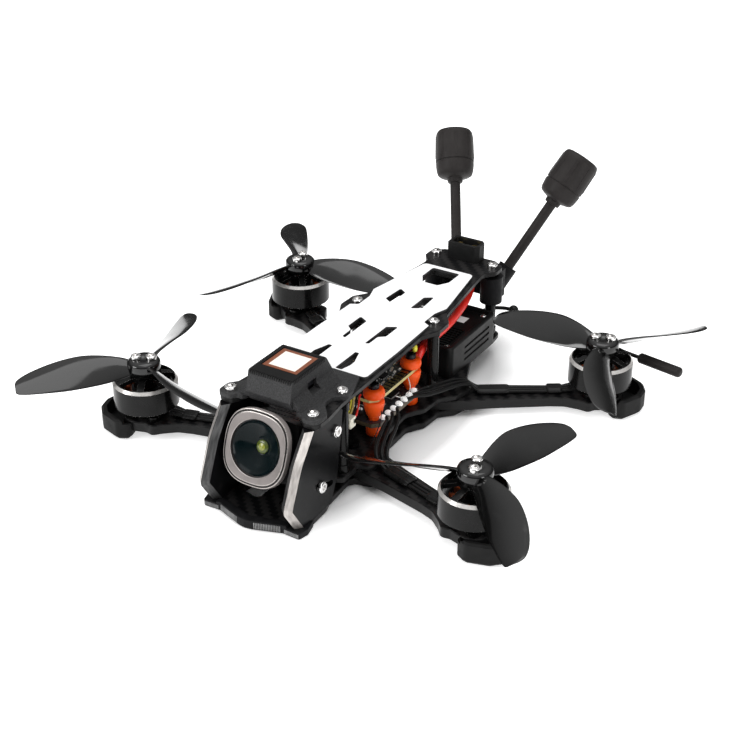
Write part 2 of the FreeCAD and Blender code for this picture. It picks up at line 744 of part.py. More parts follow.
bezel_r = size("bezel_radius")
glass_r = size("glass_radius")
CAMERA_PLACE = FreeCAD.Placement(
    V(0, size("camera_y"), size("camera_z")),
    FreeCAD.Rotation(X_AXIS, 90.0 - size("camera_tilt")))


def in_camera(body):
    """Put a piece drawn with +Z out of the lens into the tilted camera."""
    body.Placement = CAMERA_PLACE
    return body


bezel = turned("camera_bezel", [(glass_r + 0.1, -2.4), (bezel_r - 0.4, -2.4), (bezel_r, -1.6),
                                (bezel_r, -0.4), (bezel_r - 0.9, 0.5), (glass_r + 0.9, 0.5),
                                (glass_r + 0.1, -0.2)])
keep(in_camera(bezel), "camera_bezel")
lens = turned("camera_lens", [(0, -2.4), (glass_r, -2.4), (glass_r, -0.3), (6.0, 0.55), (0, 1.0)])
keep(in_camera(lens), "camera_lens")


def camera_body_shape():
    """Housing behind the bezel with a boss on each side for the two camera screws."""
    barrel = Part.makeCylinder(bezel_r - 1.2, 3.0, V(0, 0, -5.4))
    housing = box_between((-11.8, -10.4, -21.5), (11.8, 10.4, -5.3))
    housing = housing.makeFillet(1.2, [edge for edge in housing.Edges if edge.BoundBox.ZLength > 5])
    solid = barrel.fuse(housing)
    solid.Placement = CAMERA_PLACE
    reach = cheek_in - 0.3
    for (y, z), radius in ((PIVOT, PIVOT_BOSS_R), (LOCK, LOCK_BOSS_R)):
        solid = solid.fuse(rod((-reach, y, z), (reach, y, z), radius))
    solid = solid.removeSplitter()
    for y, z in (PIVOT, LOCK):
        solid = solid.cut(rod((-20, y, z), (20, y, z), CAMERA_SCREW_R).cut(
            rod((-SCREW_TIP_X, y, z), (SCREW_TIP_X, y, z), CAMERA_SCREW_R)))
    return solid


feature("camera_body", camera_body_shape())


def camera_screws():
    """Two screws a side: shank through the cheek into the bracket, head just off the cheek."""
    solids = []
    for y, z in (PIVOT, LOCK):
        for side in (1, -1):
            screw = cap_screw(0, 0, cheek_out + 0.15, 2.1, 1.3, CAMERA_SCREW_R, 7.0)
            screw.rotate(V(), Y_AXIS, 90 * side)
            screw.translate(V(0, y, z))
            solids.append(screw)
    return solids


group("camera_screws", camera_screws())

# housing on the nose of the roof: flange with screw ears, raised box, open below for the receiver
FLANGE_THICK = 1.5
HOUSING_HALF = 8.65
HOUSING_TOP = 48.7
GPS_WINDOW = ((-6.9, -61.1), (6.9, -48.2))


def gps_housing_shape():
    flange_half = [(0, -65.2), (9.4, -65.2, 0.5), (10.6, -67.4, 0.6), (12.6, -67.6, 0.5), (14.2, -69.4, 1.5),
                   (19.6, -69.2, 2.4), (19.7, -63.0, 2.4), (15.0, -57.5, 5), (15.2, -53.0, 3),
                   (19.2, -49.5, 2.5), (18.0, -44.5, 2.5), (15.5, -36.4, 1.5), (4.0, -36.4, 1),
                   (2.6, -38.2, 1), (0, -38.2)]
    flange = flat_face(mirrored(flange_half)).extrude(V(0, 0, FLANGE_THICK))
    flange.translate(V(0, 0, roof_top))
    flange_top = roof_top + FLANGE_THICK
    side_view = [(-66.0, roof_top + 0.4), (-67.8, 41.6), (-66.2, HOUSING_TOP), (-46.2, HOUSING_TOP),
                 (-40.6, flange_top + 0.6), (-40.0, roof_top + 0.4)]
    wire = Part.makePolygon([V(-HOUSING_HALF, y, z) for y, z in side_view + side_view[:1]])
    block = Part.Face(wire).extrude(V(2 * HOUSING_HALF, 0, 0))
    front_view = [(HOUSING_HALF + 3.6, flange_top), (HOUSING_HALF, 42.4), (-HOUSING_HALF, 42.4),
                  (-HOUSING_HALF - 3.6, flange_top)]
    wire = Part.makePolygon([V(x, -66.6, z) for x, z in front_view + front_view[:1]])
    skirt = Part.Face(wire).extrude(V(0, 24.0, 0))
    solid = flange.fuse(block).fuse(skirt).removeSplitter()
    cavity = box_between((-HOUSING_HALF + 1.2, -64.6, roof_top - 1), (HOUSING_HALF - 1.2, -45.5, 47.3))
    window = box_between(GPS_WINDOW[0] + (45.0,), GPS_WINDOW[1] + (60.0,))
    solid = solid.cut(cavity).cut(window)
    for side in (1, -1):
        exit_low = sorted((side * 6.0, side * 14.0))
        cable_exit = box_between((exit_low[0], -57.5, 40.6), (exit_low[1], -52.5, 44.4))
        solid = solid.cut(cable_exit)
    for x, y in both_sides(FRONT_SCREW_SPOTS):
        solid = solid.cut(Part.makeCylinder(ROOF_SCREW_RADIUS + FIT, 6, V(x, y, roof_top - 1)))
    return solid


feature("gps_housing", gps_housing_shape())


def gps_antenna_shape():
    """Receiver board with the ceramic patch that fills the housing's window."""
    board = box_between((-7.2, -64.3, 41.4), (7.2, -46.0, 42.8))
    can = box_between((-5.5, -62.0, 39.2), (5.5, -50.0, 41.5))
    patch = box_between((-6.75, -60.95, 42.7), (6.75, -48.35, HOUSING_TOP + 0.1))
    return board.fuse(can).fuse(patch)


feature("gps_antenna", gps_antenna_shape())

# bumper in front of the floor plate, under the foot of each cheek
bumper_half = [(0, -83.7, 3), (2.4, -83.3, 2), (12.6, -79.8, 2), (19.3, -80.1, 1), (20.2, -76.0, 1),
               (19.0, -71.1, 0.5), (17.05, -71.1), (16.95, -76.85, 0.5), (10.8, -77.35, 2), (0, -80.45, 2)]
bumper_outline = rounded(bumper_half + [(-x, y, *r) for x, y, *r in reversed(bumper_half[1:-1])])
bumper = padded("front_bumper", bumper_outline, "Sizes.lower_thick + 0.8")
foot_cut = [edge for side in (1, -1) for edge in rounded([
    (side * 14.1, -85.0), (side * 21.0, -85.0), (side * 21.0, -70.0), (side * 14.1, -70.0)])]
pocket_floor = size("lower_thick") - 0.05


def level_bumper(body):
    """Lower the bumper where a cheek stands over it."""
    before = body.Shape.Volume
    sketch = sketch_in(body, "XY_Plane", foot_cut)
    sketch.AttachmentOffset = FreeCAD.Placement(V(0, 0, pocket_floor), FreeCAD.Rotation())
    pocket = body.newObject("PartDesign::Pocket", "bumper_step")
    pocket.Profile = sketch
    pocket.Length = 5
    pocket.Reversed = True
    body.Tip = pocket
    doc.recompute()
    if not body.Shape.Volume < before - 1e-3:
        raise RuntimeError("pocket cut nothing from the bumper")


level_bumper(bumper)
keep(bumper, "front_bumper")

# ---------------------------------------------------------------- pillars and screws

standoff_r = 2.5


def pillar(x, y, low, high):
    solid = Part.makeCylinder(standoff_r, high - low, V(x, y, low))
    waist = Part.makeCylinder(standoff_r + 1, high - low - 6, V(x, y, low + 3))
    waist = waist.cut(Part.makeCylinder(standoff_r - 0.35, high - low - 6, V(x, y, low + 3)))
    solid = solid.cut(waist)
    return solid.cut(Part.makeCylinder(ROOF_SCREW_RADIUS + FIT, high - low, V(x, y, low)))


pillars = [pillar(x, y, deck, roof) for x, y in both_sides(STANDOFF_SPOTS)]
pillars += [pillar(x, y, deck, roof) for x, y in both_sides(FRONT_SCREW_SPOTS[1:])]
group("standoffs", pillars)

ROOF_HEAD_RADIUS = 2.0
flange_top = roof_top + FLANGE_THICK
roof_screws = []
for x, y in both_sides(FRONT_SCREW_SPOTS):
    roof_screws.append(cap_screw(x, y, flange_top, ROOF_HEAD_RADIUS, 1.5, ROOF_SCREW_RADIUS, 9.5))
for x, y in both_sides(STANDOFF_SPOTS):
    roof_screws.append(cap_screw(x, y, roof_top, ROOF_HEAD_RADIUS, 1.5, ROOF_SCREW_RADIUS, 8.0))
group("roof_screws", roof_screws)

frame_screws = []
for x, y in FRAME_SCREWS:
    head = Part.makeCylinder(2.7, 1.1, V(x, y, 0.05))
    head = head.cut(prism([(x + 1.2 * math.cos(math.radians(60 * k)), y + 1.2 * math.sin(
        math.radians(60 * k))) for k in range(6)], 0.7, 0))
    shank = Part.makeCylinder(FRAME_SCREW_RADIUS, deck - 0.6, V(x, y, 0.6))
    nut = Part.makeCylinder(2.5, 1.4, V(x, y, deck + 0.01))
    frame_screws.append(head.fuse(shank).fuse(nut))
group("frame_screws", frame_screws)

# ---------------------------------------------------------------- electronics stack

stack_y = size("stack_y")


def board_geometry(half_x, half_y, corner):
    outline = [(half_x, -half_y + corner), (half_x, half_y - corner), (half_x - corner, half_y),
               (-half_x + corner, half_y), (-half_x, half_y - corner), (-half_x, -half_y + corner),
               (-half_x + corner, -half_y), (half_x - corner, -half_y)]
    spots = [(x, y + stack_y) for x, y in outline]
    return rounded(spots) + holes(STACK_SPOTS, 1.9)


flight_board = padded("flight_controller", board_geometry(15.2, 16.2, 2.4), "Sizes.flight_board_thick",
                      z="Sizes.flight_board_z")
keep(flight_board, "flight_controller")
speed_board = padded("speed_controller", board_geometry(16.6, 16.6, 2.6), "Sizes.speed_board_thick",
                     z="Sizes.speed_board_z")
keep(speed_board, "speed_controller")

flight_low = size("flight_board_z")
flight_top = flight_low + size("flight_board_thick")
speed_low = size("speed_board_z")
speed_top = speed_low + size("speed_board_thick")
BOLT_TOP = 27.2


def ring(x, y, low, high, outer, inner):
    return Part.makeCylinder(outer, high - low, V(x, y, low)).cut(
        Part.makeCylinder(inner, high - low, V(x, y, low)))


def grommet_shapes(x, y):
    """Soft mounts of one bolt: collar above the upper board, damper below it, spacer at the deck."""
    inner = BOLT_RADIUS + FIT
    collar = ring(x, y, flight_top, BOLT_TOP - 0.1, 3.9, inner)
    collar = collar.makeFillet(0.9, [edge for edge in collar.Edges
                                     if edge.BoundBox.ZMin > BOLT_TOP - 0.2 and edge.BoundBox.XLength > 5])
    neck = ring(x, y, speed_top + 0.02, flight_low, 1.95, inner)
    damper = ring(x, y, flight_low - 5.4, flight_low, 3.7, inner)
    spacer = ring(x, y, deck, speed_low, 2.9, inner)
    return [collar, neck.fuse(damper), spacer]


grommets = []
bolts = []
for x, y in STACK_SPOTS:
    grommets += grommet_shapes(x, y)
    bolts.append(cap_screw(x, y, BOLT_TOP, 1.9, 1.9, BOLT_RADIUS, BOLT_TOP - arm_top - 0.1))
group("grommets", grommets)
group("stack_bolts", bolts)


def chip(x, y, z, width, depth, height):
    return box_between((x - width / 2, stack_y + y - depth / 2, z),
                       (x + width / 2, stack_y + y + depth / 2, z + height))


CONTROLLER_CHIPS = [          # x, y from the board centre, width, depth, height
    (-2.5, 1.5, 7.0, 7.0, 1.0), (5.5, 7.5, 3.2, 3.2, 0.9), (-7.5, -8.0, 4.0, 3.0, 0.9),
    (3.5, -8.5, 5.0, 6.0, 1.2), (-8.0, 8.0, 3.0, 5.0, 0.9), (8.6, 0.5, 2.4, 4.2, 1.0),
    (8.4, -5.8, 1.6, 2.6, 0.8), (3.2, 12.8, 9.0, 3.6, 2.6), (-3.0, -13.6, 8.0, 3.2, 2.4),
]
controller = [chip(x, y, flight_top, w, d, tall) for x, y, w, d, tall in CONTROLLER_CHIPS]
pad_count = 8
for k in range(pad_count):
    y = -7.4 + k * 14.8 / (pad_count - 1)
    for side in (1, -1):
        controller.append(chip(side * 13.2, y, flight_top, 2.6, 1.5, 0.35))
group("controller_parts", controller)

SOLDER_SPOTS = [-11.0, -7.3, -3.6, 0.1, 3.8, 7.5, 11.0]
BEAD_X = 15.4
BEAD_RADIUS = 1.1
speed = []
for y in SOLDER_SPOTS:
    for side in (1, -1):
        bead = Part.makeSphere(BEAD_RADIUS, V(side * BEAD_X, stack_y + y, speed_top))
        speed.append(bead.common(box_between((-30, -60, speed_top), (30, 60, 30))))
for x in (-9.0, -3.0, 3.0, 9.0):
    for y in (-4.6, 4.6):
        speed.append(chip(x, y, speed_top, 4.6, 5.4, 0.9))
group("speed_parts", speed)

capacitor = doc.addObject("Part::Cylinder", "capacitor")
capacitor.Radius = 4.2
capacitor.Height = 15.0
capacitor.Placement = FreeCAD.Placement(V(4.5, 9.2, 27.0), FreeCAD.Rotation(X_AXIS, -90))
keep(capacitor, "capacitor")

plug = box_between((9.5, -42.0, 20.5), (15.0, -38.2, 24.4))
for k in range(4):
    plug = plug.cut(box_between((10.2 + 1.2 * k, -42.1, 21.6), (10.9 + 1.2 * k, -40.6, 23.4)))
PLUG_WIRES = 4
group("camera_plug", [plug] + [tube([
    (10.55 + 1.1 * k, -38.15, 22.6), (10.4 + 1.1 * k, -36.0, 22.7), (9.6 + 1.0 * k, -33.0, 23.6 + 0.15 * k),
    (8.2 + 1.0 * k, -30.2, 24.6), (7.0 + 1.0 * k, -28.0, 25.6), (6.4 + 1.0 * k, -26.2, 24.9)], 0.35)
    for k in range(PLUG_WIRES)])

# ---------------------------------------------------------------- tail

VTX_HALF = 17.4
vtx_low = deck + 0.1
vtx_high = vtx_low + size("vtx_high")


def vtx_case_shape():
    outline = [(VTX_HALF, 25.0, 2.5), (VTX_HALF, 62.4, 3), (-VTX_HALF, 62.4, 3), (-VTX_HALF, 25.0, 2.5)]
    block = flat_face(outline).extrude(V(0, 0, vtx_high - vtx_low))
    block.translate(V(0, 0, vtx_low))
    block = block.makeFillet(0.8, [edge for edge in block.Edges if edge.BoundBox.ZMin > vtx_high - 1e-6])
    inset = 2.0
    well = flat_face([(VTX_HALF - inset, 25.0 + inset, 1.2), (VTX_HALF - inset, 62.4 - inset, 1.2),
                      (-VTX_HALF + inset, 62.4 - inset, 1.2), (-VTX_HALF + inset, 25.0 + inset, 1.2)])
    well = well.extrude(V(0, 0, 5))
    well.translate(V(0, 0, vtx_high - 1.6))
    block = block.cut(well)
    for k in range(3):
        groove_z = vtx_low + 3.0 + 2.6 * k
        for side in (1, -1):
            low_x, high_x = sorted((side * (VTX_HALF - 0.5), side * (VTX_HALF + 1)))
            block = block.cut(box_between((low_x, 36.0, groove_z), (high_x, 56.0, groove_z + 1.0)))
    return block


feature("vtx_case", vtx_case_shape())

ANTENNA_BASE = V(11.4, 81.9, 30.5)
ANTENNA_AIM = V(0.424, 0.667, 1.0).normalize()
STEM_LONG = 30.7
CAP_LONG = 20.6


def antenna_mount_shape():
    """Printed holder round the rear pillars with a slanted socket for each antenna stem."""
    solid = box_between((-14.2, 70.2, 22.5), (14.2, 74.8, 34.0))
    for side in (1, -1):
        x, y = side * STANDOFF_SPOTS[1][0], STANDOFF_SPOTS[1][1]
        collar = Part.makeCylinder(4.4, 11.0, V(x, y, 22.8))
        solid = solid.fuse(collar)
        aim = V(side * ANTENNA_AIM.x, ANTENNA_AIM.y, ANTENNA_AIM.z)
        base = V(side * ANTENNA_BASE.x, ANTENNA_BASE.y, ANTENNA_BASE.z)
        socket = Part.makeCylinder(3.8, 14.0, base - aim * 13.0, aim)
        web_low = sorted((side * 6.6, side * 11.8))
        web = box_between((web_low[0], 72.0, 22.5), (web_low[1], 78.0, 27.0))
        solid = solid.fuse(socket).fuse(web)
    for side in (1, -1):
        x, y = side * STANDOFF_SPOTS[1][0], STANDOFF_SPOTS[1][1]
        solid = solid.cut(Part.makeCylinder(standoff_r + FIT, 20, V(x, y, 20)))
        aim = V(side * ANTENNA_AIM.x, ANTENNA_AIM.y, ANTENNA_AIM.z)
        base = V(side * ANTENNA_BASE.x, ANTENNA_BASE.y, ANTENNA_BASE.z)
        solid = solid.cut(Part.makeCylinder(size("stem_radius"), 12.0, base - aim * 10.0, aim))
    return solid.removeSplitter()


feature("antenna_mount", antenna_mount_shape())

stems = []
caps = []
for side in (1, -1):
    aim = V(side * ANTENNA_AIM.x, ANTENNA_AIM.y, ANTENNA_AIM.z)
    base = V(side * ANTENNA_BASE.x, ANTENNA_BASE.y, ANTENNA_BASE.z)
    start = base - aim * 9.9
    stems.append(Part.makeCylinder(size("stem_radius"), STEM_LONG + 9.9, start, aim))
    cap_r = size("cap_radius")
    profile = [(0, 0), (3.0, 0), (3.2, 2.0), (cap_r - 1.2, 4.6), (cap_r, 6.4), (cap_r, CAP_LONG - 1.4),
               (cap_r - 1.0, CAP_LONG + 0.8), (cap_r - 3.0, CAP_LONG + 1.6), (0, CAP_LONG + 1.8)]
    wire = Part.makePolygon([V(r, 0, z) for r, z in profile + profile[:1]])
    cap = Part.Face(wire).revolve(V(), Z_AXIS, 360)
    cap.Placement = FreeCAD.Placement(base + aim * STEM_LONG, FreeCAD.Rotation(Z_AXIS, aim))
    caps.append(cap)
group("video_antenna_stems", stems)
group("video_antenna_caps", caps)

# battery connector on the tail of the roof, its contacts reach down to the leads
CONNECTOR_LOW = roof_top
CONNECTOR_HIGH = 44.6
PIN_HALF = 3.2
PIN_Y = 68.6
PIN_LOW = 34.5
PIN_RADIUS = 1.25


def connector_shape():
    low = (-6.6, 65.0, CONNECTOR_LOW)
    high = (6.6, 72.2, CONNECTOR_HIGH)
    block = box_between(low, high)
    upright = [edge for edge in block.Edges if edge.BoundBox.ZLength > 5 and edge.BoundBox.XMax > 0]
    block = block.makeChamfer(1.6, upright)
    well = chamfered_box((-5.4, 66.2, CONNECTOR_LOW + 2.4), (5.4, 71.0, CONNECTOR_HIGH + 3), 0.6)
    block = block.cut(well)
    for side in (1, -1):
        block = block.cut(Part.makeCylinder(PIN_RADIUS, 12, V(side * PIN_HALF, PIN_Y, CONNECTOR_LOW - 1)))
    return block


feature("battery_connector", connector_shape())
group("connector_pins", [
    Part.makeCylinder(PIN_RADIUS, CONNECTOR_HIGH - 1.4 - PIN_LOW, V(side * PIN_HALF, PIN_Y, PIN_LOW))
    for side in (1, -1)])

LEAD_RADIUS = 1.6
RED_ROUTE = [(6.6, 4.0, 16.4), (8.2, 8.4, 17.2), (10.6, 9.8, 21.0), (11.9, 10.6, 25.0), (12.0, 15.5, 27.3),
             (11.9, 25.0, 26.6), (11.4, 36.0, 27.0), (9.6, 48.0, 27.6), (6.6, 58.5, 27.0),
             (4.0, 65.6, 27.4), (PIN_HALF, 68.5, 30.0), (PIN_HALF, PIN_Y, PIN_LOW - 0.05)]
BLACK_ROUTE = [(-x, y, z) for x, y, z in RED_ROUTE]
feature("battery_lead_red", tube(RED_ROUTE, LEAD_RADIUS))
feature("battery_lead_black", tube(BLACK_ROUTE, LEAD_RADIUS))

# three wires from each motor along the arm and up to the lower board
WIRE_RADIUS = 0.65
WIRE_PITCH = 1.45
SLEEVE_NEAR = 18.0                  # both ends of the long sleeve, measured out from the body
SLEEVE_FAR = 6.0
lay = arm_top + WIRE_RADIUS + 0.05


def wire_route(frame, sx, sy, k):
    """Route of wire k of an arm; the rank keeps the three from crossing on their way to the board."""
    reach = frame[4]
    lateral = WIRE_PITCH * (k - 1)
    edge_spots = SOLDER_SPOTS[:3] if sy < 0 else SOLDER_SPOTS[-3:]
    order = k if sx > 0 else 2 - k
    rank = order if sy < 0 else 2 - order
    pad_y = stack_y + edge_spots[order]
    body_edge = on_arm(frame, -reach + 1.5 + 1.2 * (rank - 1), 1.1 * lateral) + (lay + 5.0,)
    return [
        on_arm(frame, -9.4, 0.9 * lateral) + (lay + 0.7,),
        on_arm(frame, -13.5, lateral) + (lay + 0.3,),
        on_arm(frame, -21.0, lateral) + (lay + 0.1,),
        on_arm(frame, -reach + 0.5 * (SLEEVE_NEAR + SLEEVE_FAR), lateral) + (lay + 0.3,),
        on_arm(frame, -reach + SLEEVE_FAR, lateral) + (lay + 0.6,),
        body_edge,
        (sx * (19.6 + 1.5 * (rank - 1)), 0.25 * body_edge[1] + 0.75 * pad_y, 14.6),
        (sx * 18.6, pad_y + 0.12 * (body_edge[1] - pad_y), 16.0),
        (sx * (BEAD_X + 1.4), pad_y, speed_top + 0.8),
    ]


wires = [tube(wire_route(arm_frame(sx, sy), sx, sy, k), WIRE_RADIUS)
         for sx, sy in MOTORS.values() for k in range(3)]
group("motor_leads", wires)


def sleeve_shape(frame, near, far):
    """Heat-shrink sleeve lying on the arm round the three wires between two distances."""
    motor, _, out, side, _ = frame
    low = arm_top + 0.02
    section = [(-2.9, low), (2.9, low), (2.9, low + 1.5), (1.9, low + 2.4), (-1.9, low + 2.4),
               (-2.9, low + 1.5)]
    start = motor - out * near
    spots = [start + side * across + V(0, 0, z) for across, z in section]
    face = Part.Face(Part.makePolygon(spots + spots[:1]))
    return face.extrude(out * (near - far))


sleeves = []
for sx, sy in MOTORS.values():
    frame = arm_frame(sx, sy)
    for near, far in ((14.0, 19.5), (frame[4] - SLEEVE_NEAR, frame[4] - SLEEVE_FAR)):
        sleeves.append(sleeve_shape(frame, near, far).cut(Part.makeCompound(wires)))
group("lead_sleeves", sleeves)

# receiver antenna: a thin whip from the tail across to the left rear, its element at the far end
WHIP_LOW = 15.5
WHIP_RADIUS = 0.75
WHIP_BALL = (17.6, 77.1, WHIP_LOW)
WHIP_TIP_START = (75.4, 66.5, WHIP_LOW)
WHIP_TIP_END = (93.4, 63.2, WHIP_LOW)
whip = tube([(6.0, 62.5, WHIP_LOW), (6.4, 68.0, WHIP_LOW), (9.4, 74.6, WHIP_LOW), (14.0, 77.0, WHIP_LOW),
             WHIP_BALL], WHIP_RADIUS)
straight = rod(WHIP_BALL, WHIP_TIP_START, WHIP_RADIUS)
ball = Part.makeSphere(2.0, V(*WHIP_BALL))
group("receiver_antenna", [whip.cut(ball), straight.cut(ball), ball])
capsule = rod(WHIP_TIP_START, WHIP_TIP_END, 2.0)
capsule = capsule.makeFillet(1.2, [edge for edge in capsule.Edges if edge.isClosed()])
feature("receiver_antenna_tip", capsule)

# ---------------------------------------------------------------- checks and files

doc.recompute()
failed = [item.Label for item in doc.Objects if "Invalid" in item.State or "Error" in item.State]
failed += [item.Label for item in parts if item.Shape.isNull() or not item.Shape.isValid()]
if failed:
    raise RuntimeError("failed sub-parts: " + ", ".join(failed))
print("%d sub-parts" % len(parts))
for item in parts:
    item.Shape.exportStep("parts/" + item.Label + ".step")
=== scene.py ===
"""Look of the quadcopter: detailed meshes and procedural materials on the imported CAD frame."""
import bpy
import bmesh
import math
import random
from mathutils import Matrix, Vector


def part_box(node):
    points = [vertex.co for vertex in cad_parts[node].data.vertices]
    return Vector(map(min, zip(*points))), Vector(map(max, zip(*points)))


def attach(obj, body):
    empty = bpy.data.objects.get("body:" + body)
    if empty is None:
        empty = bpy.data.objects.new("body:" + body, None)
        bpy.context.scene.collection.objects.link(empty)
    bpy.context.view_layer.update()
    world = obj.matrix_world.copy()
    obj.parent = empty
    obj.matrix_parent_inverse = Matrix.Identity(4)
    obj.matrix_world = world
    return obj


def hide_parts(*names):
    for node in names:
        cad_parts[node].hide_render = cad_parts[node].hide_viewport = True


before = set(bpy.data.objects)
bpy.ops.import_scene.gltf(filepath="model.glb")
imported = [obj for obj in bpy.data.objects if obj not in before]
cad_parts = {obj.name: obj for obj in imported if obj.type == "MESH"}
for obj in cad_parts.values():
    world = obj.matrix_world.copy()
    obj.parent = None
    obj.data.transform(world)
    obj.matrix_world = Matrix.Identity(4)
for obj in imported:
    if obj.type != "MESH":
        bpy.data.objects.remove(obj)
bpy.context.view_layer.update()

MM = 0.001               # lengths and places below are in millimetres, unless a name says otherwise
PLACES = {"front_left": (1, -1), "front_right": (-1, -1), "rear_left": (1, 1), "rear_right": (-1, 1)}
MOTOR_X, MOTOR_Y = 66.8, 50.2
ROOT_SPOTS = {-1: (22.3, -37.0), 1: (23.6, 21.8)}        # inner arm ends, front and rear
ARM_TOP = 6.5
BLACK = (0.004, 0.004, 0.0045)

scene = bpy.context.scene


# ---------------------------------------------------------------- material kit

class Kit:
    """One node material: its methods add nodes and give back their output sockets."""

    def __init__(self, name, colour=BLACK, rough=0.5, metal=0.0, **sockets):
        self.made = bpy.data.materials.new(name)
        self.made.use_nodes = True
        self.tree = self.made.node_tree
        self.shader = self.tree.nodes["Principled BSDF"]
        self.made.diffuse_color = (*colour, 1)
        self.set("Base Color", (*colour, 1))
        self.set("Roughness", rough)
        self.set("Metallic", metal)
        for key, value in sockets.items():
            self.set(key.replace("_", " "), value)
        self.texture = self.tree.nodes.new("ShaderNodeTexCoord")
        self.spot = self.texture.outputs["Object"]
        self.facing = self.texture.outputs["Normal"]

    def set(self, socket, value):
        target = self.shader.inputs[socket]
        if isinstance(value, bpy.types.NodeSocket):
            self.tree.links.new(value, target)
        else:
            target.default_value = value

    def node(self, kind, *inputs, out=0, **settings):
        made = self.tree.nodes.new(kind)
        for key, value in settings.items():
            setattr(made, key, value)
        for index, value in enumerate(inputs):
            if isinstance(value, bpy.types.NodeSocket):
                self.tree.links.new(value, made.inputs[index])
            elif value is not None:
                made.inputs[index].default_value = value
        return made.outputs[out]

    def math(self, operation, first, second=0.0, third=0.0):
        """A Math node's result."""
        return self.node("ShaderNodeMath", first, second, third, operation=operation)

    def xyz(self, vector):
        split = self.tree.nodes.new("ShaderNodeSeparateXYZ")
        self.tree.links.new(vector, split.inputs[0])
        return split.outputs

    def ramp(self, value, low, high):
        """0 to 1 as the value goes from low to high."""
        return self.node("ShaderNodeMapRange", value, low, high, 0.0, 1.0)

    def mix(self, factor, first, second):
        """A colour between first and second."""
        made = self.tree.nodes.new("ShaderNodeMix")
        made.data_type = "RGBA"
        for index, value in ((0, factor), (6, first), (7, second)):
            if isinstance(value, bpy.types.NodeSocket):
                self.tree.links.new(value, made.inputs[index])
            elif index:
                made.inputs[index].default_value = (*value, 1)
            else:
                made.inputs[index].default_value = value
        return made.outputs[2]

    def blend(self, factor, first, second):
        """A number that runs from first to second."""
        return self.node("ShaderNodeMapRange", factor, 0.0, 1.0, first, second)

    def noise(self, size_mm, detail=3.0, stretch=(1, 1, 1)):
        spot = self.node("ShaderNodeVectorMath", self.spot, stretch, operation="MULTIPLY")
        return self.node("ShaderNodeTexNoise", spot, None, 1000.0 / size_mm, detail)

    def bump(self, height, distance_mm, strength=0.6):
        made = self.tree.nodes.new("ShaderNodeBump")
        made.inputs["Strength"].default_value = strength
        made.inputs["Distance"].default_value = distance_mm * MM
        self.tree.links.new(height, made.inputs["Height"])
        self.tree.links.new(made.outputs[0], self.shader.inputs["Normal"])

    def wear(self, rough, spread=0.1, size_mm=9.0, grain_mm=0.25, depth_mm=0.01):
        """Uneven gloss with a fine grain on top."""
        patches = self.noise(size_mm, 5.0)
        self.set("Roughness", self.node("ShaderNodeMapRange", patches, 0.3, 0.7, rough - spread,
                                        rough + spread))
        self.bump(self.noise(grain_mm, 2.0), depth_mm)
        return self


def carbon():
    """Twill of flat tows: two over, two under; the tows of one way are painted a little brighter, a painted
    sheen for the light the fibres reflect along their length.
    """
    tow = 1.7
    kit = Kit("carbon_twill", (0.006, 0.006, 0.006), 0.36, Specular_IOR_Level=0.14)
    x, y, z = kit.xyz(kit.spot)
    across = kit.math("MULTIPLY", x, 1000.0 / tow)
    along = kit.math("MULTIPLY", y, 1000.0 / tow)
    column, row = kit.math("FLOOR", across), kit.math("FLOOR", along)
    step = kit.math("FLOORED_MODULO", kit.math("ADD", column, row), 4.0)
    warp = kit.math("LESS_THAN", step, 1.5)
    crown_x = kit.math("SINE", kit.math("MULTIPLY", kit.math("FRACT", across), math.pi))
    crown_y = kit.math("SINE", kit.math("MULTIPLY", kit.math("FRACT", along), math.pi))
    crown = kit.node("ShaderNodeMix", warp, None, crown_y, crown_x, data_type="FLOAT")
    fibres = kit.noise(0.5, 3.0, (3.0, 3.0, 1.0))
    # painted sheen: one way of tow is painted lighter than the other, in place of the fibres' reflection
    shade = kit.mix(warp, (0.0025, 0.0025, 0.003), (0.018, 0.017, 0.017))
    shade = kit.mix(kit.math("MULTIPLY", kit.ramp(fibres, 0.35, 0.8), 0.5), shade, (0.010, 0.010, 0.010))
    flat = kit.ramp(kit.math("ABSOLUTE", kit.xyz(kit.facing)[2]), 0.55, 0.75)
    layers = kit.math("SINE", kit.math("MULTIPLY", z, 2 * math.pi * 1000.0 / 0.42))
    edge = kit.mix(kit.ramp(layers, -0.6, 0.9), (0.006, 0.006, 0.006), (0.020, 0.020, 0.020))
    kit.set("Base Color", kit.mix(flat, edge, shade))
    kit.set("Roughness", kit.node("ShaderNodeMapRange", kit.noise(14.0, 4.0), 0.3, 0.7, 0.27, 0.45))
    kit.bump(kit.math("MULTIPLY", crown, flat), 0.05, 0.5)
    return kit.made


def white_sheet():
    """White grip sheet whose cut edges and slot walls are painted dark: painted shade."""
    kit = Kit("white_sheet", (0.9, 0.9, 0.9), 0.55)
    sheet = kit.mix(kit.ramp(kit.noise(22.0, 4.0), 0.3, 0.75), (0.93, 0.93, 0.93), (0.88, 0.88, 0.89))
    # painted shade: faces that are not level, the cut edges and slot walls, are painted dark
    level = kit.math("GREATER_THAN", kit.math("ABSOLUTE", kit.xyz(kit.facing)[2]), 0.6)
    kit.set("Base Color", kit.mix(level, (0.03, 0.03, 0.031), sheet))
    kit.bump(kit.noise(0.6, 2.0), 0.02, 0.35)
    return kit.made


def printed(name="printed_soft_black", colour=(0.0045, 0.0045, 0.005), layer=0.28):
    """Soft printed plastic with its layer lines."""
    kit = Kit(name, colour, 0.55, Specular_IOR_Level=0.12)
    z = kit.xyz(kit.spot)[2]
    layers = kit.math("SINE", kit.math("MULTIPLY", z, 2 * math.pi * 1000.0 / layer))
    uneven = kit.noise(3.0, 4.0)
    kit.set("Base Color", kit.mix(kit.ramp(uneven, 0.3, 0.8), colour, tuple(2.1 * c for c in colour)))
    kit.set("Roughness", kit.node("ShaderNodeMapRange", uneven, 0.25, 0.75, 0.42, 0.68))
    kit.bump(kit.math("ADD", kit.math("MULTIPLY", layers, 0.5), uneven), 0.035, 0.5)
    return kit.made


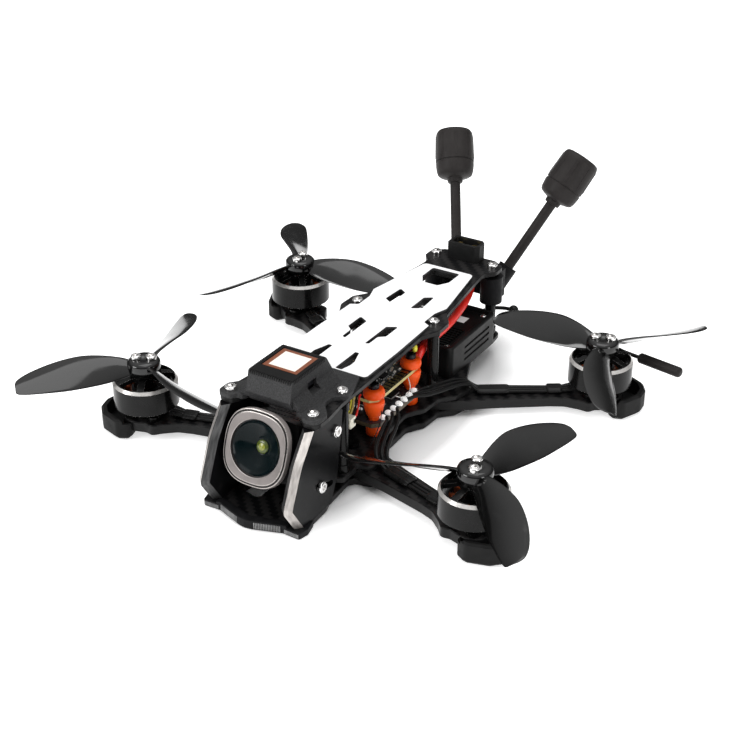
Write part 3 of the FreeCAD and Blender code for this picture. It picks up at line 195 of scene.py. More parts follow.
def housing():
    """Dark grey moulding with a sparkle texture."""
    kit = Kit("moulded_housing", (0.07, 0.07, 0.073), 0.6, Specular_IOR_Level=0.25)
    grain = kit.noise(0.45, 2.0)
    kit.set("Base Color", kit.mix(kit.ramp(grain, 0.35, 0.7), (0.016, 0.016, 0.0165), (0.038, 0.038, 0.039)))
    kit.set("Roughness", kit.node("ShaderNodeMapRange", kit.noise(8.0, 4.0), 0.3, 0.7, 0.5, 0.66))
    kit.bump(grain, 0.04, 0.6)
    return kit.made


def cheek():
    """Black anodised plate with two cut front bevels: the outward one pale and partly metallic, the inward
    one a darker grey.
    """
    kit = Kit("anodised_cheek", (0.003, 0.003, 0.003), 0.34, 0.0, Specular_IOR_Level=0.1)
    nx, ny, nz = kit.xyz(kit.facing)
    sideways = kit.math("ABSOLUTE", nx)
    bevel = kit.math("MULTIPLY", kit.math("LESS_THAN", sideways, 0.93),
                     kit.math("GREATER_THAN", sideways, 0.4))
    forward = kit.math("LESS_THAN", kit.math("SUBTRACT", ny, kit.math("MULTIPLY", nz, 0.45)), 0.12)
    bevel = kit.math("MULTIPLY", bevel, forward)
    outward = kit.math("GREATER_THAN", kit.math("MULTIPLY", nx, kit.xyz(kit.spot)[0]), 0.0)
    brushed = kit.noise(0.5, 3.0, (1.0, 0.12, 0.12))
    bright = kit.mix(kit.ramp(brushed, 0.3, 0.7), (0.30, 0.28, 0.265), (0.52, 0.49, 0.47))
    dull = kit.mix(kit.ramp(brushed, 0.3, 0.7), (0.045, 0.045, 0.046), (0.10, 0.10, 0.10))
    cut = kit.mix(outward, dull, bright)
    worn = kit.ramp(kit.noise(5.0, 6.0), 0.62, 0.72)
    black = kit.mix(worn, BLACK, (0.012, 0.012, 0.012))
    kit.set("Base Color", kit.mix(bevel, black, cut))
    # The cut faces are only partly metallic, so their pale colour paints in a reflection: painted
    # reflection.
    kit.set("Metallic", kit.math("MULTIPLY", bevel, 0.6))
    kit.set("Roughness", kit.blend(bevel, 0.34, 0.30))
    kit.bump(kit.noise(0.2, 2.0), 0.006, 0.5)
    return kit.made


def patch():
    """Ceramic antenna patch: cream top plate inside a copper-brown border."""
    patch_y, plate_half, plate_shift, top_face_z = 54.65, 5.15, 0.15, 46.5
    kit = Kit("ceramic_patch", (0.9, 0.85, 0.75), 0.35)
    x, y, z = kit.xyz(kit.spot)
    across = kit.math("ABSOLUTE", x)
    along = kit.math("ABSOLUTE", kit.math("ADD", y, patch_y * MM))
    from_middle = kit.math("MAXIMUM", across, kit.math("ADD", along, plate_shift * MM))
    border = kit.math("GREATER_THAN", from_middle, plate_half * MM)
    grain = kit.ramp(kit.noise(0.8, 4.0), 0.3, 0.75)
    copper = kit.mix(grain, (0.17, 0.045, 0.016), (0.25, 0.075, 0.03))
    cream = kit.mix(grain, (0.92, 0.88, 0.82), (0.84, 0.80, 0.72))
    body = kit.mix(kit.math("LESS_THAN", z, top_face_z * MM), kit.mix(border, cream, copper),
                   (0.01, 0.01, 0.012))
    kit.set("Base Color", body)
    kit.bump(grain, 0.012, 0.4)
    return kit.made


def metal(name, colour, rough, grain=0.6, stretch=(1, 1, 0.1), share=1.0):
    """Brushed metal; a share under 1 keeps it pale where it has nothing bright to reflect."""
    kit = Kit(name, colour, rough, share)
    streaks = kit.noise(grain, 4.0, stretch)
    kit.set("Base Color", kit.mix(kit.ramp(streaks, 0.3, 0.75), tuple(0.75 * c for c in colour), colour))
    kit.set("Roughness", kit.node("ShaderNodeMapRange", kit.noise(2.0, 4.0), 0.3, 0.7, 0.75 * rough,
                                  1.3 * rough))
    kit.bump(streaks, 0.006, 0.5)
    return kit.made


def satin(name, colour, rough, grain_mm=0.3, depth_mm=0.012, size_mm=6.0, **sockets):
    """Plastic or rubber with soft patches of tone and gloss over a fine grain."""
    kit = Kit(name, colour, rough, **sockets)
    patches = kit.ramp(kit.noise(size_mm, 5.0), 0.3, 0.75)
    kit.set("Base Color", kit.mix(patches, colour, tuple(min(1.0, 1.35 * c + 0.003) for c in colour)))
    kit.wear(rough, 0.07, size_mm, grain_mm, depth_mm)
    return kit.made


def board(name, top, edge_colour, pad_colour):
    """Circuit board: solder mask with fine tracks and vias, glass-fibre colour at the cut edge."""
    kit = Kit(name, top, 0.32)
    x, y, z = kit.xyz(kit.spot)
    cells = kit.node("ShaderNodeTexVoronoi", kit.spot, None, 1000.0 / 1.5, out=0, distance="CHEBYCHEV")
    tracks = kit.ramp(cells, 0.36, 0.42)
    vias = kit.node("ShaderNodeTexVoronoi", kit.spot, None, 1000.0 / 2.3, out=0)
    plated = kit.math("LESS_THAN", vias, 0.13)
    face = kit.mix(tracks, top, tuple(2.6 * c + 0.006 for c in top))
    face = kit.mix(plated, face, pad_colour)
    flat = kit.math("GREATER_THAN", kit.math("ABSOLUTE", kit.xyz(kit.facing)[2]), 0.7)
    fibre = kit.mix(kit.ramp(kit.noise(0.5, 3.0, (1, 1, 4)), 0.3, 0.75), edge_colour,
                    tuple(0.72 * c for c in edge_colour))
    kit.set("Base Color", kit.mix(flat, fibre, face))
    kit.set("Roughness", kit.node("ShaderNodeMapRange", kit.noise(3.0), 0.3, 0.7, 0.25, 0.42))
    kit.bump(tracks, 0.03, 0.5)
    return kit.made


def gloss_black():
    """Moulded propeller plastic, with dull scuffs in its gloss."""
    kit = Kit("polycarbonate_black", (0.004, 0.004, 0.004), 0.2, Specular_IOR_Level=0.5)
    scuffs = kit.ramp(kit.noise(7.0, 8.0, (1, 1, 3)), 0.55, 0.75)
    kit.set("Base Color", kit.mix(scuffs, (0.0025, 0.0025, 0.0025), (0.006, 0.006, 0.006)))
    kit.set("Roughness", kit.blend(scuffs, 0.10, 0.22))
    kit.bump(kit.noise(5.0, 2.0), 0.03, 0.25)
    return kit.made


def windings():
    """Enamelled copper wire."""
    kit = Kit("enamelled_copper", (0.42, 0.14, 0.05), 0.28, 0.85, Coat_Weight=0.5)
    tone = kit.ramp(kit.noise(1.2, 3.0), 0.3, 0.75)
    kit.set("Base Color", kit.mix(tone, (0.26, 0.075, 0.03), (0.62, 0.24, 0.10)))
    kit.bump(kit.noise(0.4, 2.0), 0.02, 0.4)
    return kit.made


CARBON = carbon()
SHEET = white_sheet()
TPU = printed()
GUARD_TPU = printed("printed_guard", (0.006, 0.006, 0.006), 0.4)
# The ribs of the bumper are a lighter copy of its black print: painted highlight where the fine ribs catch
# light.
RIB_TPU = printed("printed_ribs", (0.16, 0.16, 0.16), 0.5)
HOUSING = housing()
CHEEK = cheek()
PATCH = patch()
STEEL = metal("bright_steel", (0.86, 0.85, 0.84), 0.16)
DARK_STEEL = metal("black_oxide_steel", (0.035, 0.035, 0.038), 0.34)
ANODISED = satin("black_anodised", (0.003, 0.003, 0.003), 0.16, 0.25, 0.002, 4.0, Specular_IOR_Level=0.16)
CUT_EDGE = metal("cut_aluminium", (0.62, 0.60, 0.58), 0.22, share=0.5)
BEZEL = satin("bezel_warm_grey", (0.165, 0.148, 0.142), 0.45, 0.2, 0.01, 5.0, Specular_IOR_Level=0.3)
BEZEL_RIM = metal("bezel_bright_rim", (0.42, 0.39, 0.37), 0.32, share=0.6)
SEAM = satin("bezel_dark_seam", (0.012, 0.010, 0.010), 0.5)
BARREL = satin("lens_barrel_dark", (0.0004, 0.0034, 0.0042), 0.16, 0.3, 0.001, Specular_IOR_Level=0.12)
# Painted reflection: the yellow-green of the inner element stands for the light its coating reflects, with a
# painted highlight at its core.
ELEMENT_REFLECTION = satin("lens_element_painted_reflection", (0.055, 0.075, 0.008), 0.15)
ELEMENT_HIGHLIGHT = satin("lens_element_painted_highlight", (0.22, 0.24, 0.035), 0.12)
CAMERA_BLACK = satin("camera_moulding", (0.003, 0.003, 0.003), 0.45, Specular_IOR_Level=0.15)
ORANGE = satin("orange_rubber", (0.86, 0.075, 0.003), 0.42, 0.5, 0.02, Specular_IOR_Level=0.3)
FLIGHT_BOARD = board("flight_board", (0.012, 0.014, 0.013), (0.62, 0.52, 0.22), (0.55, 0.40, 0.15))
SPEED_BOARD = board("speed_board", (0.010, 0.010, 0.012), (0.10, 0.075, 0.045), (0.5, 0.42, 0.25))
CHIP = satin("chip_epoxy", (0.006, 0.006, 0.006), 0.42, 0.15, 0.008, 2.0, Specular_IOR_Level=0.15)
TIN = metal("tinned_contact", (0.93, 0.92, 0.90), 0.20, share=0.4)
CERAMIC = satin("ceramic_part", (0.30, 0.20, 0.11), 0.4, 0.2, 0.006, 1.5)
OLIVE_PAD = metal("gold_pad", (0.42, 0.33, 0.14), 0.32)
# The solder beads glow a little: a painted glow that keeps them white.
SOLDER = Kit("solder_bead", (0.93, 0.93, 0.92), 0.18, Emission_Color=(1.0, 1.0, 1.0, 1),
             Emission_Strength=0.3).wear(0.2, 0.08, 1.0).made
YELLOW = satin("yellow_part", (0.85, 0.72, 0.06), 0.35)
SLEEVE_RED = satin("capacitor_sleeve", (0.16, 0.008, 0.016), 0.25)
PLUG = satin("plug_ivory", (0.80, 0.74, 0.62), 0.35)
PALE_WIRE = satin("pale_wires", (0.62, 0.47, 0.16), 0.4)
VTX_BLACK = satin("transmitter_case", (0.004, 0.004, 0.004), 0.42, 0.3, 0.012, 8.0, Specular_IOR_Level=0.15)
INK = satin("white_ink", (0.82, 0.82, 0.80), 0.5)
CONNECTOR = satin("connector_nylon", (0.006, 0.006, 0.006), 0.36, 0.4, 0.02, Specular_IOR_Level=0.15)
GOLD = metal("gold_contact", (0.95, 0.70, 0.26), 0.2)
RED_WIRE = satin("red_silicone", (0.78, 0.022, 0.012), 0.34, 0.4, 0.02)
BLACK_WIRE = satin("black_silicone", (0.005, 0.005, 0.005), 0.36, 0.4, 0.02, Specular_IOR_Level=0.15)
SHRINK = satin("heat_shrink", (0.006, 0.006, 0.006), 0.3, 0.8, 0.06, 4.0, Specular_IOR_Level=0.15)
ANTENNA = satin("antenna_grey", (0.021, 0.019, 0.0185), 0.45, 0.3, 0.012, 7.0, Specular_IOR_Level=0.08)
COPPER = windings()
LAMINATION = metal("stator_laminations", (0.10, 0.10, 0.10), 0.4, 0.3, (0.1, 0.1, 3.0))
PROP_BLACK = gloss_black()


# ---------------------------------------------------------------- mesh kit

def finished(name, mesh, materials, smooth_angle=38.0):
    """Object of a mesh, smooth but for edges sharper than the angle in degrees."""
    for item in materials:
        mesh.materials.append(item)
    mesh.shade_smooth()
    mesh.set_sharp_from_angle(angle=math.radians(smooth_angle))
    made = bpy.data.objects.new(name, mesh)
    scene.collection.objects.link(made)
    return made


def from_bmesh(name, shape, materials, smooth_angle=38.0):
    """Object of a bmesh, which this frees."""
    bmesh.ops.recalc_face_normals(shape, faces=shape.faces)
    mesh = bpy.data.meshes.new(name)
    shape.to_mesh(mesh)
    shape.free()
    return finished(name, mesh, materials, smooth_angle)


def rings_into(shape, rings, closed_start=True, closed_end=True, material=0):
    """Skin a list of rings of (x, y, z) in millimetres; every ring has as many points."""
    rows = [[shape.verts.new(Vector(p) * MM) for p in ring] for ring in rings]
    count = len(rows[0])
    faces = []
    for low, high in zip(rows, rows[1:]):
        for k in range(count):
            after = (k + 1) % count
            faces.append(shape.faces.new((low[k], low[after], high[after], high[k])))
    if closed_start:
        faces.append(shape.faces.new(rows[0][::-1]))
    if closed_end:
        faces.append(shape.faces.new(rows[-1]))
    for face in faces:
        face.material_index = material
    return faces


def circle_ring(radius, z, count=48):
    return [(radius * math.cos(2 * math.pi * k / count), radius * math.sin(2 * math.pi * k / count), z)
            for k in range(count)]


def lathe_into(shape, profile, count=48, material=0, move=None):
    """Turn (radius, z) points about Z; a radius of nearly nothing closes the end."""
    move = move or Matrix.Identity(4)
    rings = [[tuple(move @ Vector(p)) for p in circle_ring(max(r, 0.02), z, count)] for r, z in profile]
    return rings_into(shape, rings, material=material)


def box_into(shape, centre, size, material=0, turn=0.0):
    """Box with its sides turned about Z, in radians."""
    turned = Matrix.Rotation(turn, 4, "Z")
    corners = [(sx * size[0] / 2, sy * size[1] / 2) for sx, sy in ((-1, -1), (1, -1), (1, 1), (-1, 1))]
    rings = []
    for z in (-size[2] / 2, size[2] / 2):
        rings.append([tuple(Vector(centre) + turned @ Vector((x, y, z))) for x, y in corners])
    return rings_into(shape, rings, material=material)


def rounded_edges(item, width_mm, segments=2, angle=35.0, material=-1):
    bevel = item.modifiers.new("rounded_edges", "BEVEL")
    bevel.width = width_mm * MM
    bevel.segments = segments
    bevel.limit_method = "ANGLE"
    bevel.angle_limit = math.radians(angle)
    bevel.material = material
    bevel.use_clamp_overlap = True
    bevel.harden_normals = True
    return item


def on_frame(item, body, slot, *nodes):
    """Ride on a body and stand for CAD nodes, which it hides; the slot is not used."""
    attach(item, body)
    if nodes:
        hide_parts(*nodes)
    return item


def paint(node, material):
    """Give a CAD node that stays its material."""
    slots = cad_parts[node].data.materials
    for index in range(len(slots)):
        slots[index] = material


def refined(node, body, slot, width_mm, materials, segments=2, angle=38.0, edge_material=-1):
    """A copy of a node's shape with welded, softly rounded edges."""
    shape = bmesh.new()
    shape.from_mesh(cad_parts[node].data)
    bmesh.ops.remove_doubles(shape, verts=shape.verts, dist=0.002 * MM)
    bmesh.ops.dissolve_limit(shape, angle_limit=math.radians(0.6), verts=shape.verts, edges=shape.edges)
    mesh = bpy.data.meshes.new(node + "_detail")
    shape.to_mesh(mesh)
    shape.free()
    if "custom_normal" in mesh.attributes:
        mesh.attributes.remove(mesh.attributes["custom_normal"])
    mesh.materials.clear()
    for face in mesh.polygons:
        face.material_index = 0
    made = finished(node + "_detail", mesh, materials, angle)
    rounded_edges(made, width_mm, segments, angle, edge_material)
    return on_frame(made, body, slot, node)


def cable(name, points, radius, material, body, slot, *nodes):
    """Smooth round wire along control points in millimetres."""
    curve = bpy.data.curves.new(name, "CURVE")
    curve.dimensions = "3D"
    curve.bevel_depth = radius * MM
    curve.bevel_resolution = 5
    curve.use_fill_caps = True
    curve.resolution_u = 12
    spline = curve.splines.new("NURBS")
    spline.points.add(len(points) - 1)
    for control, point in zip(spline.points, points):
        control.co = (*(Vector(point) * MM), 1)
    spline.order_u = 3
    spline.use_endpoint_u = True
    curve.materials.append(material)
    made = bpy.data.objects.new(name, curve)
    scene.collection.objects.link(made)
    return on_frame(made, body, slot, *nodes)


# ---------------------------------------------------------------- plates, pad, arms

for node in ("lower_plate", "main_plate", "top_plate", "arm_front_left", "arm_front_right",
             "arm_rear_left", "arm_rear_right"):
    paint(node, CARBON)
paint("battery_pad", SHEET)
for place in PLACES:
    refined("arm_guard_" + place, "frame", "soft_black", 0.3, [GUARD_TPU], 2, 30.0)
refined("antenna_mount", "frame", "soft_black", 0.25, [TPU], 2)
refined("front_bumper", "frame", "soft_black", 0.3, [TPU], 2)
paint("standoffs", ANODISED)
paint("frame_screws", DARK_STEEL)
paint("roof_screws", STEEL)
paint("camera_screws", STEEL)
paint("stack_bolts", DARK_STEEL)
paint("connector_pins", GOLD)
paint("motor_bearings", STEEL)
paint("motor_bases", ANODISED)
paint("receiver_antenna", BLACK_WIRE)
for side in ("left", "right"):
    paint("camera_cheek_" + side, CHEEK)
refined("gps_housing", "frame", "housing_grey", 0.22, [HOUSING], 2)
paint("gps_antenna", PATCH)
refined("vtx_case", "frame", "vtx_metal", 0.15, [VTX_BLACK], 2)
refined("battery_connector", "frame", "connector_black", 0.2, [CONNECTOR], 2)
paint("video_antenna_stems", ANTENNA)
paint("flight_controller", FLIGHT_BOARD)
paint("speed_controller", SPEED_BOARD)
refined("receiver_antenna_tip", "frame", "antenna_grey", 0.1, [ANTENNA])


# ---------------------------------------------------------------- motors

def arm_frame(sx, sy):
    """Motor axis, outward and sideways directions of an arm and its reach, in millimetres."""
    motor = Vector((sx * MOTOR_X, sy * MOTOR_Y, 0))
    out = motor - Vector((sx * ROOT_SPOTS[sy][0], ROOT_SPOTS[sy][1], 0))
    reach = out.length
    out.normalize()
    return motor, out, Vector((-out.y, out.x, 0)), reach


def on_arm(arm, along, across, z):
    """Point at a distance outward from the motor's axis and sideways from the arm's middle."""
    motor, out, side, _ = arm
    return motor + out * along + side * across + Vector((0, 0, z))


def winding_into(shape, place, turn, material):
    """Copper coil round one stator tooth: a stack of rounded turns along the tooth."""
    turns, steps, inner_r, length, middle_z = 5, 4, 5.6, 2.5, 14.4
    rings = []
    for k in range(steps * turns + 1):
        radius = inner_r + length * k / (steps * turns)
        swell = 0.16 * (1 + math.cos(2 * math.pi * k / steps))
        half_wide, half_high = 1.05 + swell + 0.05 * (radius - inner_r), 2.45 + swell
        ring = []
        for j in range(16):
            a = 2 * math.pi * j / 16
            across = half_wide * math.copysign(abs(math.cos(a)) ** 0.6, math.cos(a))
            up = half_high * math.copysign(abs(math.sin(a)) ** 0.6, math.sin(a))
            spot = Matrix.Rotation(turn, 3, "Z") @ Vector((radius, across, middle_z + up))
            ring.append(tuple(place + spot))
        rings.append(ring)
    rings_into(shape, rings, material=material)


def stator_detail():
    """Sleeve, wound teeth and tooth shoes of all four stators."""
    teeth = 9
    shape = bmesh.new()
    for sx, sy in PLACES.values():
        motor = Vector((sx * MOTOR_X, sy * MOTOR_Y, 0))
        lathe_into(shape, [(3.35, 11.6), (5.1, 11.6), (5.1, 17.2), (3.35, 17.2)], 32, 0,
                   Matrix.Translation(motor))
        for k in range(teeth):
            turn = math.radians(360 / teeth * k)
            winding_into(shape, motor, turn, 1)
            shoe = [(math.cos(turn + a) * r, math.sin(turn + a) * r) for a, r in (
                (-0.27, 8.5), (-0.27, 9.2), (0, 9.3), (0.27, 9.2), (0.27, 8.5), (0, 8.6))]
            rings_into(shape, [[(motor.x + x, motor.y + y, z) for x, y in shoe] for z in (11.5, 17.3)])
    return on_frame(from_bmesh("stators_detail", shape, [LAMINATION, COPPER]), "frame", "winding", "stators")


stator_detail()
BELL_LIP_R, BELL_LIP_Z = 10.9, 19.6      # the chamfer outside and above these is cut bright
for place, (sx, sy) in PLACES.items():
    bell = refined("motor_bell_" + place, "rotor_" + place, "bell_metal", 0.38, [ANODISED, CUT_EDGE],
                   2, 32.0, 1)
    for face in bell.data.polygons:
        spot = face.center / MM
        if math.hypot(spot.x - sx * MOTOR_X, spot.y - sy * MOTOR_Y) > BELL_LIP_R and spot.z > BELL_LIP_Z:
            face.material_index = 1
    paint("prop_screws_" + place, STEEL)

# radius, chord, pitch in degrees, sideways offset and height of the mid-chord of a blade
BLADE = [(4.6, 6.4, 34, 0.0, 25.8), (8.0, 8.4, 40, 0.3, 25.8), (14.0, 11.2, 38, 1.0, 25.7),
         (21.0, 13.2, 33, 1.7, 25.5), (28.0, 13.4, 29, 1.6, 25.1), (35.0, 12.0, 25, 1.2, 24.6),
         (41.0, 9.6, 22, 0.4, 24.1), (44.5, 6.8, 21, -0.5, 23.8), (45.5, 4.0, 21, -1.1, 23.7)]
BLADE_TIP = 45.7
# direction of the first blade in degrees, and whether the propeller turns clockwise
ROTORS = {"front_left": (73.3, False), "front_right": (107.1, True),
          "rear_left": (55.0, True), "rear_right": (5.2, False)}


def between(stations, t):
    """Catmull-Rom value along a list of equally long rows, t in rows."""
    k = min(int(t), len(stations) - 2)
    u = t - k
    a, b, c, d = (stations[max(0, min(len(stations) - 1, k + j))] for j in (-1, 0, 1, 2))
    return [0.5 * (2 * q + (r - p) * u + (2 * p - 5 * q + 4 * r - s) * u * u
                   + (3 * q - p - 3 * r + s) * u ** 3) for p, q, r, s in zip(a, b, c, d)]


def aerofoil(chord, thick):
    """Closed section from trailing edge over the top to the nose and back, cambered."""
    half = 12
    points = []
    for k in range(2 * half):
        a = math.pi * k / half
        along = 0.5 * math.cos(a)
        depth = 0.5 + along
        body = 2.2 * thick * math.sqrt(max(1 - depth, 0.0)) * (0.16 + depth) * (1.02 - (1 - depth) * 0.4)
        camber = 0.055 * chord * (1 - 4 * along * along)
        top = 1 if k <= half else -1
        points.append((-along * chord, camber - 0.035 * chord + top * 0.5 * body * abs(math.sin(a)) ** 0.25))
    return points


def propeller_detail(place):
    """Three twisted blades on a round hub."""
    turn, clockwise = ROTORS[place]
    hand = -1 if clockwise else 1
    sx, sy = PLACES[place]
    motor = Vector((sx * MOTOR_X, sy * MOTOR_Y, 0))
    shape = bmesh.new()
    steps = 4
    for blade in range(3):
        rings = []
        for k in range(steps * (len(BLADE) - 1) + 1):
            radius, chord, pitch, offset, height = between(BLADE, k / steps)
            pitch = math.radians(pitch)
            thick = 1.45 - 0.95 * radius / BLADE_TIP
            ring = []
            for behind, up in aerofoil(chord, thick):
                along = -behind
                y = offset + along * math.cos(pitch) - up * math.sin(pitch)
                z = height + along * math.sin(pitch) + up * math.cos(pitch)
                a = math.radians(turn) + hand * math.radians(120 * blade)
                x, y = radius, hand * y
                ring.append((motor.x + x * math.cos(a) - y * math.sin(a),
                             motor.y + x * math.sin(a) + y * math.cos(a), z))
            rings.append(ring)
        rings_into(shape, rings)
    hub = [(3.2, 23.05), (5.7, 23.05), (5.98, 23.4), (5.98, 27.3), (5.7, 27.95), (5.1, 28.25), (4.9, 28.45),
           (1.6, 28.45), (1.3, 28.1), (0.0, 28.1)]
    lathe_into(shape, hub, 48, 0, Matrix.Translation(motor))
    made = from_bmesh("propeller_%s_detail" % place, shape, [PROP_BLACK], 50.0)
    return on_frame(made, "rotor_" + place, "propeller_gloss", "propeller_" + place)


for place in PLACES:
    propeller_detail(place)


# ---------------------------------------------------------------- camera

BEZEL_SPOT, CAMERA_TILT = (0, -75.5, 26.4), 20.0
CAMERA = Matrix.Translation(BEZEL_SPOT) @ Matrix.Rotation(math.radians(90 - CAMERA_TILT), 4, "X")
# y and z of the tilt screw and of the lock screw, and the radius of the boss that each goes into
CAMERA_BOSSES = ((-56.7, 29.2, 2.8), (-65.9, 12.6, 1.75))


def squircle(half_x, half_y, z, power=2.7, count=96):
    """Ring between an ellipse, at power 2, and a rectangle."""
    ring = []
    for k in range(count):
        a = 2 * math.pi * k / count
        reach = (abs(math.cos(a) / half_x) ** power + abs(math.sin(a) / half_y) ** power) ** (-1 / power)
        ring.append((reach * math.cos(a), reach * math.sin(a), z))
    return ring


def hoop_into(shape, rings, materials, move):
    """Closed ring body through a loop of rings; materials has one index for each band."""
    rows = [[shape.verts.new((move @ Vector(p)) * MM) for p in ring] for ring in rings]
    count = len(rows[0])
    for index, low in enumerate(rows):
        high = rows[(index + 1) % len(rows)]
        for k in range(count):
            after = (k + 1) % count
            face = shape.faces.new((low[k], low[after], high[after], high[k]))
            face.material_index = materials[index]


def bezel_detail():
    """Rounded square outside, round inside, with a dark seam and bright rims."""
    shape = bmesh.new()
    rings = [squircle(11.9, 12.4, -2.4), squircle(12.4, 12.9, -1.7), squircle(12.4, 12.9, -0.25),
             squircle(12.2, 12.7, 0.25), squircle(11.9, 12.4, 0.35), squircle(11.75, 12.2, 0.0),
             squircle(11.5, 11.95, 0.0), squircle(11.35, 11.8, 0.45), squircle(11.1, 11.5, 0.6),
             squircle(9.75, 9.75, 0.6, 2.0), squircle(9.6, 9.6, 0.45, 2.0), squircle(9.5, 9.5, -0.3, 2.0),
             squircle(9.2, 9.2, -0.3, 2.0), squircle(9.2, 9.2, -2.4, 2.0)]
    bands = [0, 0, 0, 1, 2, 2, 2, 1, 0, 1, 2, 2, 2, 2]
    hoop_into(shape, rings, bands, CAMERA)
    made = from_bmesh("camera_bezel_detail", shape, [BEZEL, BEZEL_RIM, SEAM], 30.0)
    return on_frame(made, "camera", "bezel_grey", "camera_bezel")


def lens_detail():
    """Dark front glass sunk like a funnel to the inner element at its middle, whose yellow-green is a
    painted reflection of its coating, with a painted highlight at its core.
    """
    shape = bmesh.new()
    barrel = [(9.15, -5.4), (9.15, -0.15), (9.0, -0.05), (8.85, -0.25), (8.5, -0.75), (7.6, -1.35),
              (6.4, -2.0), (5.0, -2.7), (3.9, -3.25), (3.0, -3.7), (2.75, -3.95), (0.0, -4.0)]
    # the element and its core carry the painted reflection and the painted highlight
    element = [(2.4, -4.05), (2.3, -3.85), (2.0, -3.6), (1.6, -3.5), (0.0, -3.45)]
    core = [(1.25, -3.55), (1.2, -3.42), (0.8, -3.32), (0.75, -3.4), (0.0, -3.25)]
    for material, (profile, count) in enumerate(((barrel, 96), (element, 48), (core, 48))):
        lathe_into(shape, profile, count, material, CAMERA)
    made = from_bmesh("camera_lens_detail", shape, [BARREL, ELEMENT_REFLECTION, ELEMENT_HIGHLIGHT], 50.0)
    return on_frame(made, "camera", "lens_glass", "camera_lens")


def camera_body_detail():
    """Bored barrel, finned housing with four corner screws, and the bosses for the cheek screws."""
    shape = bmesh.new()
    bore = [(9.2, -5.6), (9.2, -2.45), (11.3, -2.45), (11.75, -2.9), (11.75, -5.6)]
    hoop_into(shape, [circle_ring(r, z, 72) for r, z in bore], [0] * len(bore), CAMERA)
    for low, high, grow in ((-10.4, -5.5, 0.0), (-11.2, -10.4, -0.7), (-14.6, -11.2, 0.0),
                            (-15.4, -14.6, -0.7), (-21.4, -15.4, 0.0)):
        rings = []
        for z in (low, high):
            rings.append([tuple(CAMERA @ Vector(p)) for p in squircle(11.8 + grow, 10.4 + grow, z, 9.0, 64)])
        rings_into(shape, rings)
    for x in (-9.6, 9.6):
        for y in (-8.4, 8.4):
            head = [(1.1, -21.3), (1.1, -21.6), (0.9, -21.9), (0.4, -21.9), (0.35, -21.6), (0.0, -21.6)]
            lathe_into(shape, head[::-1], 20, 1, CAMERA @ Matrix.Translation((x, y, 0)))
    for y, z, radius in CAMERA_BOSSES:
        for side in (1, -1):
            move = Matrix.Translation((0, y, z)) @ Matrix.Rotation(math.radians(90 * side), 4, "Y")
            boss = [(radius, 9.0), (radius, 13.6), (radius - 0.3, 13.95), (1.1, 13.95), (1.1, 11.6),
                    (0.0, 11.6)]
            lathe_into(shape, boss, 32, 0, move)
    made = from_bmesh("camera_body_detail", shape, [CAMERA_BLACK, STEEL], 40.0)
    return on_frame(made, "camera", "camera_black", "camera_body")


bezel_detail()
lens_detail()
camera_body_detail()


# ---------------------------------------------------------------- nose trim

def teeth_row(name, start, end, count, size, material, slot, out=(0, -1, 0)):
    """Row of small ribs between two points, each rib standing proud along out."""
    shape = bmesh.new()
    start, end = Vector(start), Vector(end)
    turn = math.atan2(end.y - start.y, end.x - start.x)
    for k in range(count):
        spot = start.lerp(end, (k + 0.5) / count) + Vector(out) * 0.05
        box_into(shape, spot, size, 0, turn)
    made = from_bmesh(name, shape, [material])
    rounded_edges(made, 0.08, 1)
    return on_frame(made, "frame", slot)


def gps_rim_detail():
    """Black frame on top of the receiver housing, round the antenna patch."""
    shape = bmesh.new()
    middle_y = -56.2
    rings = []
    for half_x, half_y, z in ((8.5, 9.75, 48.72), (8.5, 9.75, 48.95), (8.3, 9.55, 49.1), (7.0, 7.0, 49.1),
                              (6.85, 6.85, 48.95), (6.85, 6.85, 48.72)):
        shift = 1.6 if half_y < 8 else 0.0
        rings.append([(sx * half_x, middle_y + shift + sy * half_y, z)
                      for sx, sy in ((-1, -1), (1, -1), (1, 1), (-1, 1))])
    hoop_into(shape, rings, [0] * len(rings), Matrix.Identity(4))
    return on_frame(from_bmesh("gps_rim_detail", shape, [CAMERA_BLACK], 30.0), "frame", "housing_grey")


gps_rim_detail()
teeth_row("gps_rim_front", (-8.3, -66.15, 48.3), (8.3, -66.15, 48.3), 19, (0.5, 0.7, 1.3), CAMERA_BLACK,
          "housing_grey")
for side in (1, -1):
    teeth_row("gps_rim_left" if side > 0 else "gps_rim_right", (side * 8.5, -65.6, 48.3),
              (side * 8.5, -47.0, 48.3), 22, (0.45, 0.55, 1.3), CAMERA_BLACK, "housing_grey")
# Ribs on the bumper in the lighter printed copy: painted highlight.
for side in (1, -1):
    name = "left" if side > 0 else "right"
    teeth_row("bumper_ribs_" + name, (side * 3.2, -83.0, 1.7), (side * 12.0, -80.0, 1.7), 17,
              (0.3, 0.5, 2.3), RIB_TPU, "soft_black")
    teeth_row("bumper_toe_" + name, (side * 13.2, -79.75, 1.2), (side * 19.0, -80.0, 1.2), 12,
              (0.28, 0.4, 1.5), RIB_TPU, "soft_black")


# ---------------------------------------------------------------- electronics stack

STACK_Y, BOLT_HALF = -10.0, 12.75
FLIGHT_TOP, SPEED_TOP = 23.7, 14.6
PAD_X, PAD_ROWS = 15.5, {-1: (-11.0, -7.3, -3.6), 1: (3.8, 7.5, 11.0)}     # lower board: front and rear rows
SPARE_PAD_ROW = 0.1
BOLTS = [(sx * BOLT_HALF, STACK_Y + sy * BOLT_HALF) for sx in (1, -1) for sy in (1, -1)]
